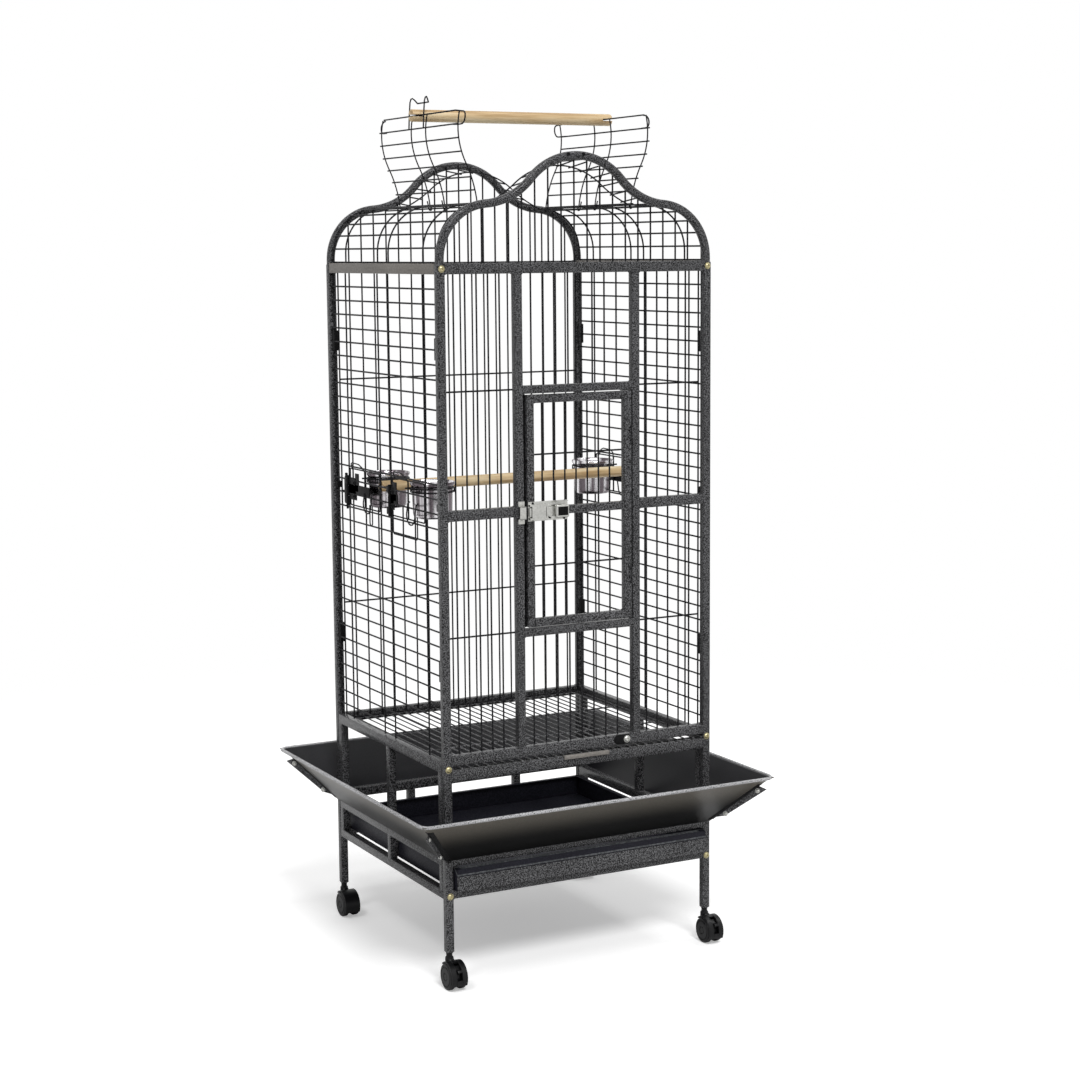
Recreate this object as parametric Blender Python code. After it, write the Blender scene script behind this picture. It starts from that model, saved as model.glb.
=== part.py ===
"""Open-top bird cage on castors, in metres: X across the front, Y to the back, Z up, floor at zero.

The front and rear frames each are one flat welded frame of square tube, legs and dome included. Side
frames, top rails and wire panels join them. Tubes are drawn solid and wires as three-sided bars.
"""
import math

import bmesh
import bpy
from mathutils import Matrix, Vector
from mathutils.geometry import tessellate_polygon

# Overall sizes, with everything below measured from them.
overall_w, overall_d, overall_h = 0.790, 0.750, 1.720
cage_w, cage_d = 0.600, 0.545
tube = 0.016
rail = 0.020
wire = 0.003
gap = 0.0003
sheet = 0.0016

half_w = cage_w / 2
half_d = cage_d / 2
inner_w = half_w - tube
inner_d = half_d - tube
panel_d = inner_d - gap
edge_inset = 0.0028
half_wire = wire / 2

# Heights of the rails, each named by its lower or upper face.
leg_foot = 0.068
base_rail_low, base_rail_top = 0.175, 0.191
stand_rail_low, stand_rail_top = 0.240, 0.256
rear_stand_low, rear_stand_top = 0.255, 0.275
sill_low, slot_low, slot_top, sill_top = 0.406, 0.428, 0.437, 0.457
floor_low, floor_top = 0.422, 0.442
side_base_low, side_base_top = 0.173, 0.190
side_stand_low, side_stand_top = 0.238, 0.258
mid_rail_low, mid_rail_top = 0.910, 0.930
roof_rise = 0.3255
head_top = overall_h - roof_rise
head_low = head_top - rail

# A dome is a round shoulder, a hollow and a round crown: the height where it starts, the radii of the
# shoulder and the hollow, and the slopes in degrees after each. The tube and the wires each have their own.
tube_dome = (head_top + 0.0055, 0.1135, 0.1335, 4.2, 48.4)
wire_dome = (head_top + 0.0205, 0.100, 0.210, 9, 41)

# The door opening in the front frame and the door in it.
stile_left, stile_right = -0.131, 0.127
opening_low, opening_top = 0.690, 1.146
surround = 0.0155
door_gap_left, door_gap = 0.0075, 0.0025
door_bar = 0.016
opening_left = stile_left + tube / 2
opening_right = stile_right - tube / 2
door_left = opening_left + door_gap_left
door_right = opening_right - door_gap
door_low = opening_low + door_gap
door_top = opening_top - door_gap
door_axis = (opening_right - door_gap / 2, -half_d - 0.004)

# The wings, their hinge and the wires that stay around them.
hinge_inset = 0.130
hinge_x = half_w - hinge_inset
mesh_offset = tube + 0.006
shoulder_offset = 0.010
wing_edge, wing_middle = 0.180, 0.034
strip_y = 0.190
wing_open = math.radians(75.7)
tip_gap = 0.0035
cross_wires = 8
rod_r = 0.0015

# Side panels: rows of wire, counted down from the highest.
row_first, row_pitch = head_low - 0.0275, 0.02832
row_count = 1 + int((row_first - floor_top - 0.010) / row_pitch)
side_wires_y = (0.188, 0.026)
side_x = half_w - 0.0065
edge_y = inner_d - 0.004

# Feeder doors, cups and perches.
feeder_rows = (13, 16)
cup_r, cup_rim_r, cup_h = 0.040, 0.045, 0.072
cup_inset = 0.060
cup_top = row_first - row_pitch * feeder_rows[0] - 0.00884
perch_r, perch_end = 0.012, 0.01987
inner_perch_r, inner_perch_y, inner_perch_z = 0.011, 0.032, cup_top - 0.020

# Grate, tray and skirt.
grate_wires = 31
tray_front, tray_h = 0.285, 0.0452
skirt_low, skirt_top = 0.252, 0.356
roll_r = 0.006

# Castors, and the four corners of the stand with the side each is on.
corners = (("front_left", -1, -1), ("front_right", 1, -1), ("rear_left", -1, 1), ("rear_right", 1, 1))
wheel_r, wheel_w, wheel_gap = 0.026, 0.012, 0.012
trail = 0.019
axle_r = 0.003
wheel_sides = 18

steel = ("4A4B4D", 0.6, 0.45)
wire_steel = ("3A3B3D", 0.6, 0.45)
black = ("151516", 0.0, 0.5)
plated = ("B9B7B0", 1.0, 0.3)
timber = ("D9B98A", 0.0, 0.6)
stainless = ("C9CACC", 1.0, 0.2)


def paint(obj, finish):
    colour, metallic, roughness = finish
    material = bpy.data.materials.new(obj.name)
    material.use_nodes = True
    shader = material.node_tree.nodes["Principled BSDF"]
    parts = [int(colour[i:i + 2], 16) / 255 for i in (0, 2, 4)]
    linear = [p / 12.92 if p < 0.04045 else ((p + 0.055) / 1.055) ** 2.4 for p in parts]
    shader.inputs["Base Color"].default_value = (*linear, 1)
    shader.inputs["Metallic"].default_value = metallic
    shader.inputs["Roughness"].default_value = roughness
    obj.data.materials.append(material)


def stand(bm, name, finish, pivot=(0, 0, 0), smooth=False):
    """Makes the object, with its origin at the pivot."""
    bmesh.ops.recalc_face_normals(bm, faces=bm.faces)
    bmesh.ops.translate(bm, verts=bm.verts, vec=-Vector(pivot))
    mesh = bpy.data.meshes.new(name)
    bm.to_mesh(mesh)
    bm.free()
    obj = bpy.data.objects.new(name, mesh)
    obj.location = pivot
    bpy.context.scene.collection.objects.link(obj)
    paint(obj, finish)
    if smooth:
        mesh.shade_smooth()
    return obj


def join(obj, bm, operation="UNION"):
    """Adds a second shape to the object, or cuts it away, with an exact Boolean."""
    bmesh.ops.recalc_face_normals(bm, faces=bm.faces)
    bmesh.ops.translate(bm, verts=bm.verts, vec=-obj.location)
    mesh = bpy.data.meshes.new(obj.name + "_tool")
    bm.to_mesh(mesh)
    bm.free()
    tool = bpy.data.objects.new(obj.name + "_tool", mesh)
    tool.location = obj.location
    tool.hide_render = True
    tool.display_type = "WIRE"
    bpy.context.scene.collection.objects.link(tool)
    modifier = obj.modifiers.new("join", "BOOLEAN")
    modifier.operation = operation
    modifier.solver = "EXACT"
    modifier.use_self = True
    modifier.object = tool


def prism(outlines, place, near, far, bm=None):
    """A flat outline, with any windows after it, given thickness from near to far."""
    bm = bm or bmesh.new()
    flat = [[Vector((a, b, 0)) for a, b in outline] for outline in outlines]
    corners = [corner for outline in outlines for corner in outline]
    rings = [[bm.verts.new(place(a, b, depth)) for a, b in corners] for depth in (near, far)]
    for triangle in tessellate_polygon(flat):
        for ring in rings:
            bm.faces.new([ring[i] for i in triangle])
    first = 0
    for outline in outlines:
        count = len(outline)
        for i in range(count):
            here, there = first + i, first + (i + 1) % count
            bm.faces.new((rings[0][here], rings[0][there], rings[1][there], rings[1][here]))
        first += count
    return bm


def loft(loops, bm=None):
    """Skins a row of loops with the same number of points and closes both ends."""
    bm = bm or bmesh.new()
    rings = [[bm.verts.new(point) for point in loop] for loop in loops]
    for one, two in zip(rings, rings[1:]):
        for i in range(len(one)):
            j = (i + 1) % len(one)
            bm.faces.new((one[i], one[j], two[j], two[i]))
    bm.faces.new(rings[0])
    bm.faces.new(rings[-1])
    return bm


def block(low, high, bm=None):
    (x0, y0, z0), (x1, y1, z1) = low, high
    loops = [[(x0, y0, z), (x1, y0, z), (x1, y1, z), (x0, y1, z)] for z in (z0, z1)]
    return loft(loops, bm)


def circle(cx, cy, r, sides, turn=0.0):
    angles = [turn + 2 * math.pi * i / sides for i in range(sides)]
    return [(cx + r * math.cos(a), cy + r * math.sin(a)) for a in angles]


def rectangle(a0, a1, b0, b1):
    return [(a0, b0), (a1, b0), (a1, b1), (a0, b1)]


def spun(profile, sides, place):
    """Turns (radius, height) points about their axis; place maps (a, b, height) into the cage."""
    return loft([[place(a, b, h) for a, b in circle(0, 0, r, sides)] for r, h in profile])


def facing_y(a, b, depth):
    return (a, depth, b)


def facing_x(a, b, depth):
    return (depth, a, b)


def walk(path, s):
    """The point and heading at distance s along a path of straights and arcs in the XZ plane."""
    x, z, heading = path[0]
    for length, turn in path[1:]:
        step = min(s, length)
        s -= step
        if turn:
            radius = length / turn
            after = heading + step / radius
            x += radius * (math.sin(after) - math.sin(heading))
            z -= radius * (math.cos(after) - math.cos(heading))
            heading = after
        else:
            x += step * math.cos(heading)
            z += step * math.sin(heading)
    return x, z, heading


def dome_path(dome, inset):
    """A dome from the right side over to the left one, this far inside its outer face."""
    start_z, shoulder_r, hollow_r = dome[:3]
    low_slope, high_slope = math.radians(dome[3]), math.radians(dome[4])
    start = (half_w - inset, start_z, math.pi / 2)
    shoulder = ((shoulder_r - inset) * (math.pi / 2 - low_slope), math.pi / 2 - low_slope)
    hollow = ((hollow_r + inset) * (high_slope - low_slope), low_slope - high_slope)
    crown_x = walk([start, shoulder, hollow], shoulder[0] + hollow[0])[0]
    crown = (crown_x / math.sin(high_slope) * 2 * high_slope, 2 * high_slope)
    return [start, shoulder, hollow, crown, hollow, shoulder]


def path_length(path):
    return sum(length for length, _ in path[1:])


def where_x(path, x):
    """How far along the path it comes to this x, for a path that runs from right to left."""
    low, high = 0.0, path_length(path)
    for _ in range(40):
        middle = (low + high) / 2
        if walk(path, middle)[0] > x:
            low = middle
        else:
            high = middle
    return low


def dome_outline(inset):
    path = dome_path(tube_dome, inset)
    points = [walk(path, 0)[:2]]
    done = 0.0
    for (length, _), steps in zip(path[1:], (6, 3, 8, 3, 6)):
        points += [walk(path, done + length * i / steps)[:2] for i in range(1, steps + 1)]
        done += length
    return points


def wire_net(points, across, along, place, size=wire, bm=None):
    """Crossing wires as one body: points maps (i, j) to its flat place; across and along hold the
    crossings whose wire runs on to the next i or the next j."""
    bm = bm or bmesh.new()
    half = size / 2
    corners = ((-half, -half), (half, -half), (half, half), (-half, half))
    base = {k: [bm.verts.new(place(u + a, v + b, 0)) for a, b in corners] for k, (u, v) in points.items()}
    ridge = {k: bm.verts.new(place(u, v, size)) for k, (u, v) in points.items()}
    for (i, j), foot in base.items():
        bm.faces.new(foot)
        joined = ((i, j) in across, (i, j) in along, (i - 1, j) in across, (i, j - 1) in along)
        for runs_on, one, two in zip(joined, (1, 2, 3, 0), (2, 3, 0, 1)):
            if not runs_on:
                bm.faces.new((foot[one], foot[two], ridge[i, j]))
    for here, there, sides in (
        [((i, j), (i + 1, j), ((1, 0), (2, 3))) for i, j in across]
        + [((i, j), (i, j + 1), ((2, 1), (3, 0))) for i, j in along]
    ):
        (a0, b0), (a1, b1) = sides
        bm.faces.new((base[here][a0], base[there][b0], base[there][b1], base[here][a1]))
        for a, b in sides:
            bm.faces.new((base[here][a], base[there][b], ridge[there], ridge[here]))
    return bm


def even(low, high, count):
    """This many places spread evenly between two limits, the limits left out."""
    return [low + (high - low) * i / (count + 1) for i in range(1, count + 1)]


def grid(columns, rows):
    points = {(i, j): (u, v) for i, u in enumerate(columns) for j, v in enumerate(rows)}
    across = {(i, j) for i, j in points if (i + 1, j) in points}
    along = {(i, j) for i, j in points if (i, j + 1) in points}
    return points, across, along


def frame_outline():
    feet = [
        (-half_w, leg_foot), (-inner_w, leg_foot), (-inner_w, base_rail_low),
        (inner_w, base_rail_low), (inner_w, leg_foot), (half_w, leg_foot),
    ]
    return dome_outline(0) + feet


def dome_window():
    return dome_outline(tube) + [(-inner_w, head_top), (inner_w, head_top)]


def front_frame():
    left, right = stile_left - tube / 2, stile_right + tube / 2
    windows = [
        dome_window(),
        rectangle(-inner_w, left, mid_rail_top, head_low),
        rectangle(-inner_w, left, sill_top, mid_rail_low),
        rectangle(right, inner_w, mid_rail_top, head_low),
        rectangle(right, inner_w, sill_top, mid_rail_low),
        rectangle(opening_left, opening_right, opening_top + surround, head_low),
        rectangle(opening_left, opening_right, opening_low, opening_top),
        rectangle(opening_left, opening_right, sill_top, opening_low - surround),
        rectangle(-inner_w, inner_w, slot_low, slot_top),
        rectangle(-inner_w, inner_w, stand_rail_top, sill_low),
        rectangle(-inner_w, inner_w, base_rail_top, stand_rail_low),
    ]
    stand(prism([frame_outline()] + windows, facing_y, -half_d, -inner_d), "front_frame", steel)


def rear_frame():
    windows = [
        dome_window(),
        rectangle(-inner_w, inner_w, floor_top, head_low),
        rectangle(-inner_w, inner_w, rear_stand_top, floor_low),
    ]
    posts = [-inner_w, stile_left - tube / 2, opening_left, opening_right, stile_right + tube / 2, inner_w]
    windows += [rectangle(a, b, base_rail_top, rear_stand_low) for a, b in zip(posts[::2], posts[1::2])]
    stand(prism([frame_outline()] + windows, facing_y, inner_d, half_d), "rear_frame", steel)


def side_frames(side, word):
    deep = panel_d
    top_rail = block((side * inner_w, -deep, head_low), (side * half_w, deep, head_top))
    stand(top_rail, word + "_top_rail", steel)
    outer = rectangle(-deep, deep, side_base_low, floor_top)
    windows = []
    for low, high in ((side_base_top, side_stand_low), (side_stand_top, floor_low)):
        windows.append(rectangle(-deep + tube, -tube / 2, low, high))
        windows.append(rectangle(tube / 2, deep - tube, low, high))
    frame = prism([outer] + windows, facing_x, side * inner_w, side * half_w)
    stand(frame, word + "_stand_frame", steel)
    ledge_out, ledge_in = side * (inner_w - gap), side * (inner_w - 0.012)
    ledge = block((ledge_out, -deep, floor_low + 0.004), (ledge_in, deep, slot_low + 0.0005))
    stand(ledge, word + "_grate_ledge", steel)


def front_wires():
    """Wires of both bays and of the field above and below the door, on the inside of the front frame."""
    edge = inner_w - edge_inset
    left = even(-inner_w, stile_left - tube / 2, 5)
    middle = even(opening_left, opening_right, 8)
    right = even(stile_right + tube / 2, inner_w, 5)
    columns = [-edge] + left + [stile_left] + middle + [stile_right] + right + [edge]
    head_row = head_low + rail / 4
    rows = [(slot_top + sill_top) / 2, opening_low - surround / 2, (mid_rail_low + mid_rail_top) / 2]
    rows += [opening_top + surround / 2, head_row]
    points, across, along = grid(columns, rows)
    first, last = len(left) + 1, len(left) + len(middle) + 2
    bars = (first, last)
    doorway = {(i, 2) for i in range(first + 1, last)}
    points = {k: p for k, p in points.items() if k not in doorway}
    across = {(i, j) for i, j in across if j != 2 or i < first or i >= last}
    along = {(i, j) for i, j in along if i not in bars and not (first < i < last and j in (1, 2))}
    place = lambda u, v, h: (u, -panel_d + h, v)
    stand(wire_net(points, across, along, place), "front_wires", wire_steel)


def dome_columns():
    return even(-inner_w, inner_w, 19)


def with_dome_ends(columns, rows):
    """A grid whose wires run on up from its top row to the middle of the dome's tube."""
    points, across, along = grid(columns, rows)
    path = dome_path(tube_dome, tube / 2)
    top = len(rows)
    for i, x in enumerate(columns[1:-1], start=1):
        points[i, top] = (x, walk(path, where_x(path, x))[1])
    along = {(i, j) for i, j in points if (i, j + 1) in points}
    return points, across, along


def dome_and_rear_wires():
    edge = inner_w - edge_inset
    columns = [-edge] + dome_columns() + [edge]
    head_row = head_top - rail / 4
    net = with_dome_ends(columns, [head_row])
    stand(wire_net(*net, lambda u, v, h: (u, -panel_d + h, v)), "front_dome_wires", wire_steel)
    rows = [(floor_low + floor_top) / 2, opening_low - surround / 2, (mid_rail_low + mid_rail_top) / 2]
    rows += [opening_top + surround / 2, head_row]
    net = with_dome_ends(columns, rows)
    stand(wire_net(*net, lambda u, v, h: (u, panel_d - h, v)), "rear_wires", wire_steel)


def row_z(k):
    return row_first - row_pitch * k


def side_panel(side, word, feeder_bays):
    """A side's wires, with a way through for each feeder door between two of the uprights."""
    far, near = side_wires_y
    columns = [-edge_y, -far, -near, near, far, edge_y]
    rows = [row_z(k) for k in reversed(range(row_count))]
    rows = [floor_top + gap + half_wire] + rows + [head_low - gap - half_wire]
    points, across, along = grid(columns, rows)
    top_end = len(rows) - 1
    across = {(i, j) for i, j in across if j not in (0, top_end)}
    above, below = feeder_rows
    cut_rows = {row_count - k for k in range(above + 1, below)}
    across = {(i, j) for i, j in across if not (i in feeder_bays and j in cut_rows)}
    place = lambda u, v, h: (side * (side_x - h), u, v)
    stand(wire_net(points, across, along, place), word + "_side_wires", wire_steel)


def shoulder(side, word):
    """The fixed wires from the side's top rail up to the wing's hinge rod."""
    start_z, shoulder_r = wire_dome[:2]
    start = (half_w - shoulder_offset, head_top + gap + half_wire, math.pi / 2)
    radius = shoulder_r - shoulder_offset
    flat = half_w - shoulder_r - hinge_x - rod_r - gap - half_wire
    path = [start, (start_z - start[1], 0), (radius * math.pi / 2, math.pi / 2), (flat, 0)]
    total = path_length(path)
    pitch = (total + rod_r) / (cross_wires - 1)
    stops = [pitch * i for i in range(cross_wires - 1)] + [total]
    reach = panel_d - wire - gap - half_wire
    far, near = side_wires_y
    columns = [-reach, -far, -near, near, far, reach]
    points, across, along = grid(stops, columns)
    last = len(stops) - 1
    points = {(i, j): p for (i, j), p in points.items() if i < last or 0 < j < len(columns) - 1}
    along = {(i, j) for i, j in along if i < last}
    across = {(i, j) for i, j in across if 0 < j < len(columns) - 1}

    def place(u, v, h):
        x, z, heading = walk(path, u)
        x += max(0, u - total) * math.cos(heading) - h * math.sin(heading)
        z += max(0, u - total) * math.sin(heading) + h * math.cos(heading)
        return (side * x, v, z)

    stand(wire_net(points, across, along, place), word + "_shoulder_wires", wire_steel)


def hinge_place():
    """Where the right wing's hinge rod stands, and how far along the crown's path that is."""
    path = dome_path(wire_dome, mesh_offset)
    s = where_x(path, hinge_x)
    x, z, heading = walk(path, s)
    return path, s, x - half_wire * math.sin(heading), z + half_wire * math.cos(heading)


def hinge_rod(side, word):
    _, _, x, z = hinge_place()
    reach = panel_d - wire - gap
    ends = [[(side * x + a, y, z + b) for a, b in circle(0, 0, rod_r, 8)] for y in (-reach, reach)]
    stand(loft(ends), word + "_hinge_rod", wire_steel)


def crown_strip(side, word):
    """The fixed wire over the crown and the short wires from it to the dome's tube."""
    path, start, _, _ = hinge_place()
    total = path_length(path)
    gaps = 2 * (cross_wires - 1)
    clear = rod_r + gap + half_wire + 0.0005
    stops = [start + (total - 2 * start) * i / gaps for i in range(gaps + 1)]
    stops[0] += clear
    stops[-1] -= clear
    reach = panel_d - wire - gap - half_wire
    points, across, along = grid(stops, [strip_y, reach])
    points = {(i, j): p for (i, j), p in points.items() if j == 0 or 0 < i < gaps}
    across = {(i, j) for i, j in across if j == 0}
    along = {(i, j) for i, j in along if 0 < i < gaps}

    def place(u, v, h):
        x, z, heading = walk(path, u)
        h -= 0.008 * (v - strip_y) / (reach - strip_y)
        return (x - h * math.sin(heading), side * v, z + h * math.cos(heading))

    stand(wire_net(points, across, along, place), word + "_crown_strip", wire_steel)


def wing_frame(side):
    """A mapping for an open wing: along it, across it and outwards, plus where it starts and ends."""
    path, start, hx, hz = hinge_place()
    end = path_length(path) / 2 - tip_gap
    turn = Matrix.Rotation(-wing_open, 2)

    def place(u, v, h):
        x, z, heading = walk(path, min(u, end))
        x += max(0, u - end) * math.cos(heading) - h * math.sin(heading)
        z += max(0, u - end) * math.sin(heading) + h * math.cos(heading)
        x, z = turn @ Vector((x - hx, z - hz))
        return (side * (hx + x), v, hz + z)

    return place, start, end, hx, hz


def wing(side, word):
    place, start, end, hx, hz = wing_frame(side)
    first = start + 0.0065
    stops = [start + 0.0028] + [first + (end - first) * i / (cross_wires - 1) for i in range(cross_wires)]
    columns = [-wing_edge, -wing_middle, wing_middle, wing_edge]
    points, across, along = grid(stops, columns)
    along = {(i, j) for i, j in along if i}
    if side < 0:
        # The closing hook: the two middle wires run on past the free edge and are joined at the top.
        lift = 0.006
        root = place(end, 0, -lift)
        tip = place(end + 0.01, 0, -lift)
        climb = (tip[2] - root[2]) / 0.01
        reach = (overall_h - root[2]) / climb - half_wire
        hook = [end + 0.009, end + reach]
        count = len(stops)
        for n, stop in enumerate(hook):
            for j in (1, 2):
                points[count + n, j] = (stop, columns[j])
                across.add((count + n - 1, j))
        along.add((count + 1, 1))
        plain = place
        place = lambda u, v, h: plain(u, v, h - lift if u > end + 0.004 else h)
    obj = stand(
        wire_net(points, across, along, place), word + "_wing", wire_steel, (side * hx, 0, hz)
    )
    rings = bmesh.new()
    for y in columns:
        outlines = [circle(side * hx, hz, r, 8, math.pi / 8) for r in (0.0034, 0.0020)]
        prism(outlines, facing_y, y - 0.003, y + 0.003, rings)
    join(obj, rings)


def perches():
    place, _, end, _, _ = wing_frame(1)
    x, _, z = place(end, 0, half_wire)
    long = x + perch_end
    ends = [[(s, a, z + b) for a, b in circle(0, 0, perch_r, 16)] for s in (-long, long)]
    obj = stand(loft(ends), "top_perch", timber, (0, 0, z))
    slots = bmesh.new()
    for s in (-1, 1):
        inner = s * (x - 0.0028)
        block((inner, -2 * perch_r, z - 0.0022), (s * (long + 0.01), 2 * perch_r, z + 0.0022), slots)
    join(obj, slots, "DIFFERENCE")
    long = side_x - wire - gap
    y, z = inner_perch_y, inner_perch_z
    ends = [[(s, y + a, z + b) for a, b in circle(0, 0, inner_perch_r, 14)] for s in (-long, long)]
    stand(loft(ends), "inner_perch", timber)


def door():
    ax, ay = door_axis
    pivot = (ax, ay, (door_low + door_top) / 2)
    rail_low = (mid_rail_low + mid_rail_top) / 2 - door_bar / 2 - 0.002
    rail_top = rail_low + door_bar
    inner_left, inner_right = door_left + door_bar, door_right - door_bar
    outlines = [
        rectangle(door_left, door_right, door_low, door_top),
        rectangle(inner_left, inner_right, door_low + door_bar, rail_low),
        rectangle(inner_left, inner_right, rail_top, door_top - door_bar),
    ]
    back = -inner_d - 0.0007
    stand(prism(outlines, facing_y, -half_d + gap, back), "door_frame", steel, pivot)
    columns = [inner_left - door_bar / 2] + even(inner_left, inner_right, 7) + [inner_right + door_bar / 2]
    low, high = door_low + door_bar / 2, door_top - door_bar / 2
    middle = (rail_low + rail_top) / 2
    rows = [low, (low + middle) / 2, middle, (middle + high) / 2, high]
    points, across, along = grid(columns, rows)
    along = {(i, j) for i, j in along if 0 < i < len(columns) - 1}
    place = lambda u, v, h: (u, back + gap + h, v)
    stand(wire_net(points, across, along, place), "door_wires", wire_steel, pivot)
    for word, z in (("upper", door_top - 0.085), ("lower", door_low + 0.085)):
        ends = [[(ax + a, ay + b, z + s) for a, b in circle(0, 0, 0.0036, 10)] for s in (-0.017, 0.017)]
        stand(loft(ends), "door_hinge_" + word, steel)
    latch(middle, pivot)


def latch(z, pivot):
    """A slide bolt on the door and its keeper on the stile, the bolt drawn back by its travel."""
    face = -half_d - gap
    plate_left, plate_right = door_left, -0.029
    bolt_half, bolt_thick, plate_thick = 0.0085, 0.0040, 0.0020
    shell_out = face - plate_thick - bolt_thick - 0.0036
    low, high = z - 0.018, z + 0.020
    channel = [
        (face, low), (face - plate_thick, low), (face - plate_thick, z - bolt_half - 0.004),
        (shell_out, z - bolt_half - 0.002), (shell_out, z + bolt_half + 0.002),
        (face - plate_thick, z + bolt_half + 0.004), (face - plate_thick, high), (face, high),
    ]
    bore = [
        (face - plate_thick, z - bolt_half - 0.0006), (shell_out + 0.0016, z - bolt_half - 0.0006),
        (shell_out + 0.0016, z + bolt_half + 0.0006), (face - plate_thick, z + bolt_half + 0.0006),
    ]
    plain = [(face, low), (face - plate_thick, low), (face - plate_thick, high), (face, high)]
    middle = plate_right - 0.047
    obj = stand(prism([channel, bore], facing_x, plate_left, middle), "door_latch_plate", plated, pivot)
    join(obj, prism([plain], facing_x, middle - 0.001, plate_right))
    bolt_y = face - plate_thick - gap
    out = bolt_y - bolt_thick
    bar = rectangle(bolt_y, out, z - bolt_half, z + bolt_half)
    bolt = prism([bar], facing_x, plate_left + 0.0005, plate_right - 0.003)
    obj = stand(bolt, "door_latch_bolt", plated, pivot)
    knob = [(a, b) for a, b in circle(-0.045, z, 0.015, 8, math.pi / 8)]
    join(obj, prism([knob], facing_y, out + 0.001, out - 0.010))
    inner, outer = out - 0.0008, out - 0.0028
    hat = [
        (face, z - 0.022), (face, z - bolt_half - 0.002), (inner, z - bolt_half - 0.002),
        (inner, z + bolt_half + 0.002), (face, z + bolt_half + 0.002), (face, z + 0.022),
        (face - 0.002, z + 0.022), (face - 0.002, z + bolt_half + 0.004), (outer, z + bolt_half + 0.004),
        (outer, z - bolt_half - 0.004), (face - 0.002, z - bolt_half - 0.004), (face - 0.002, z - 0.022),
    ]
    stand(prism([hat], facing_x, opening_left - 0.0135, opening_left), "door_keeper", plated)


def grate():
    edge = inner_w - 0.0035
    columns = [-edge] + even(-edge, edge, grate_wires - 2) + [edge]
    front, back = -half_d + 0.002 + half_wire, panel_d - wire - gap - half_wire
    rows = [front] + even(front, back, 2) + [back]
    place = lambda u, v, h: (u, v, slot_low + 0.0008 + h)
    stand(wire_net(*grid(columns, rows), place), "grate", wire_steel)
    # The lock's tab is drawn turned aside, clear of the grate's slot.
    x, z = 0.102, (slot_top + sill_top) / 2 + 0.001
    tab = [(x + 0.007, z + 0.0095), (x - 0.018, z + 0.010)]
    tab += [(x - 0.018 - 0.010 * math.cos(a), z + 0.010 * math.sin(a)) for a in (0.7, 0, -0.7)]
    tab += [(x - 0.018, z - 0.010), (x + 0.007, z - 0.0095)]
    face = -half_d - gap
    stand(prism([tab], facing_y, face, face - 0.0025), "grate_lock", steel, (x, face, z))


def tray():
    wide, back = inner_w - 0.0025, panel_d - 0.0005
    low = base_rail_top + gap
    top = low + tray_h
    lip = 0.010
    levels = (
        (0, low), (0, top), (lip, top), (lip, top - sheet), (sheet, top - sheet), (sheet, low + sheet),
    )
    loops = []
    for inset, z in levels:
        x, y0, y1 = wide - inset, -tray_front + inset, back - inset
        loops.append([(-x, y0, z), (x, y0, z), (x, y1, z), (-x, y1, z)])
    stand(loft(loops), "tray", black)


def skirt_reach():
    return overall_w / 2 - half_w, overall_d / 2 - half_d


def skirt_section(reach):
    """The sheet's section as (out, up) points, from the lower edge to the rolled rim and back."""
    roll = [math.radians(a) for a in range(180, 496, 45)]
    cx, cz = reach - roll_r, skirt_top - roll_r
    curl = [(cx + roll_r * math.cos(a), cz + roll_r * math.sin(a)) for a in roll]
    return [(gap, skirt_low)] + curl + [(gap, skirt_low + sheet)]


def skirt():
    reach_x, reach_y = skirt_reach()
    for word, side in (("front", -1), ("rear", 1)):
        loops = []
        for end in (-1, 1):
            loops.append([
                (end * (half_w + out * reach_x / reach_y - gap), side * (half_d + out), z)
                for out, z in skirt_section(reach_y)
            ])
        stand(loft(loops), "skirt_" + word, steel)
    for word, side in (("left", -1), ("right", 1)):
        loops = []
        for end in (-1, 1):
            loops.append([
                (side * (half_w + out), end * (half_d + out * reach_y / reach_x - gap), z)
                for out, z in skirt_section(reach_x)
            ])
        stand(loft(loops), "skirt_" + word, steel)
    rise = skirt_top - roll_r - skirt_low
    leg, off, thick = 0.016, 0.0009, 0.0015
    for word, sx, sy in corners:
        loops = []
        for z in (skirt_low + 0.004, skirt_top - 3 * roll_r):
            share = (z - skirt_low) / rise
            out_x, out_y = [gap + share * (reach - 2 * roll_r - gap) for reach in (reach_x, reach_y)]
            x = half_w + max(out_x, out_y * reach_x / reach_y)
            y = half_d + max(out_y, out_x * reach_y / reach_x)
            near, far = off, off + thick
            plan = [(-leg, near), (near, near), (near, -leg), (far, -leg), (far, far), (-leg, far)]
            loops.append([(sx * (x + a), sy * (y + b), z) for a, b in plan])
        stand(loft(loops), "skirt_corner_" + word, steel)


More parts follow.
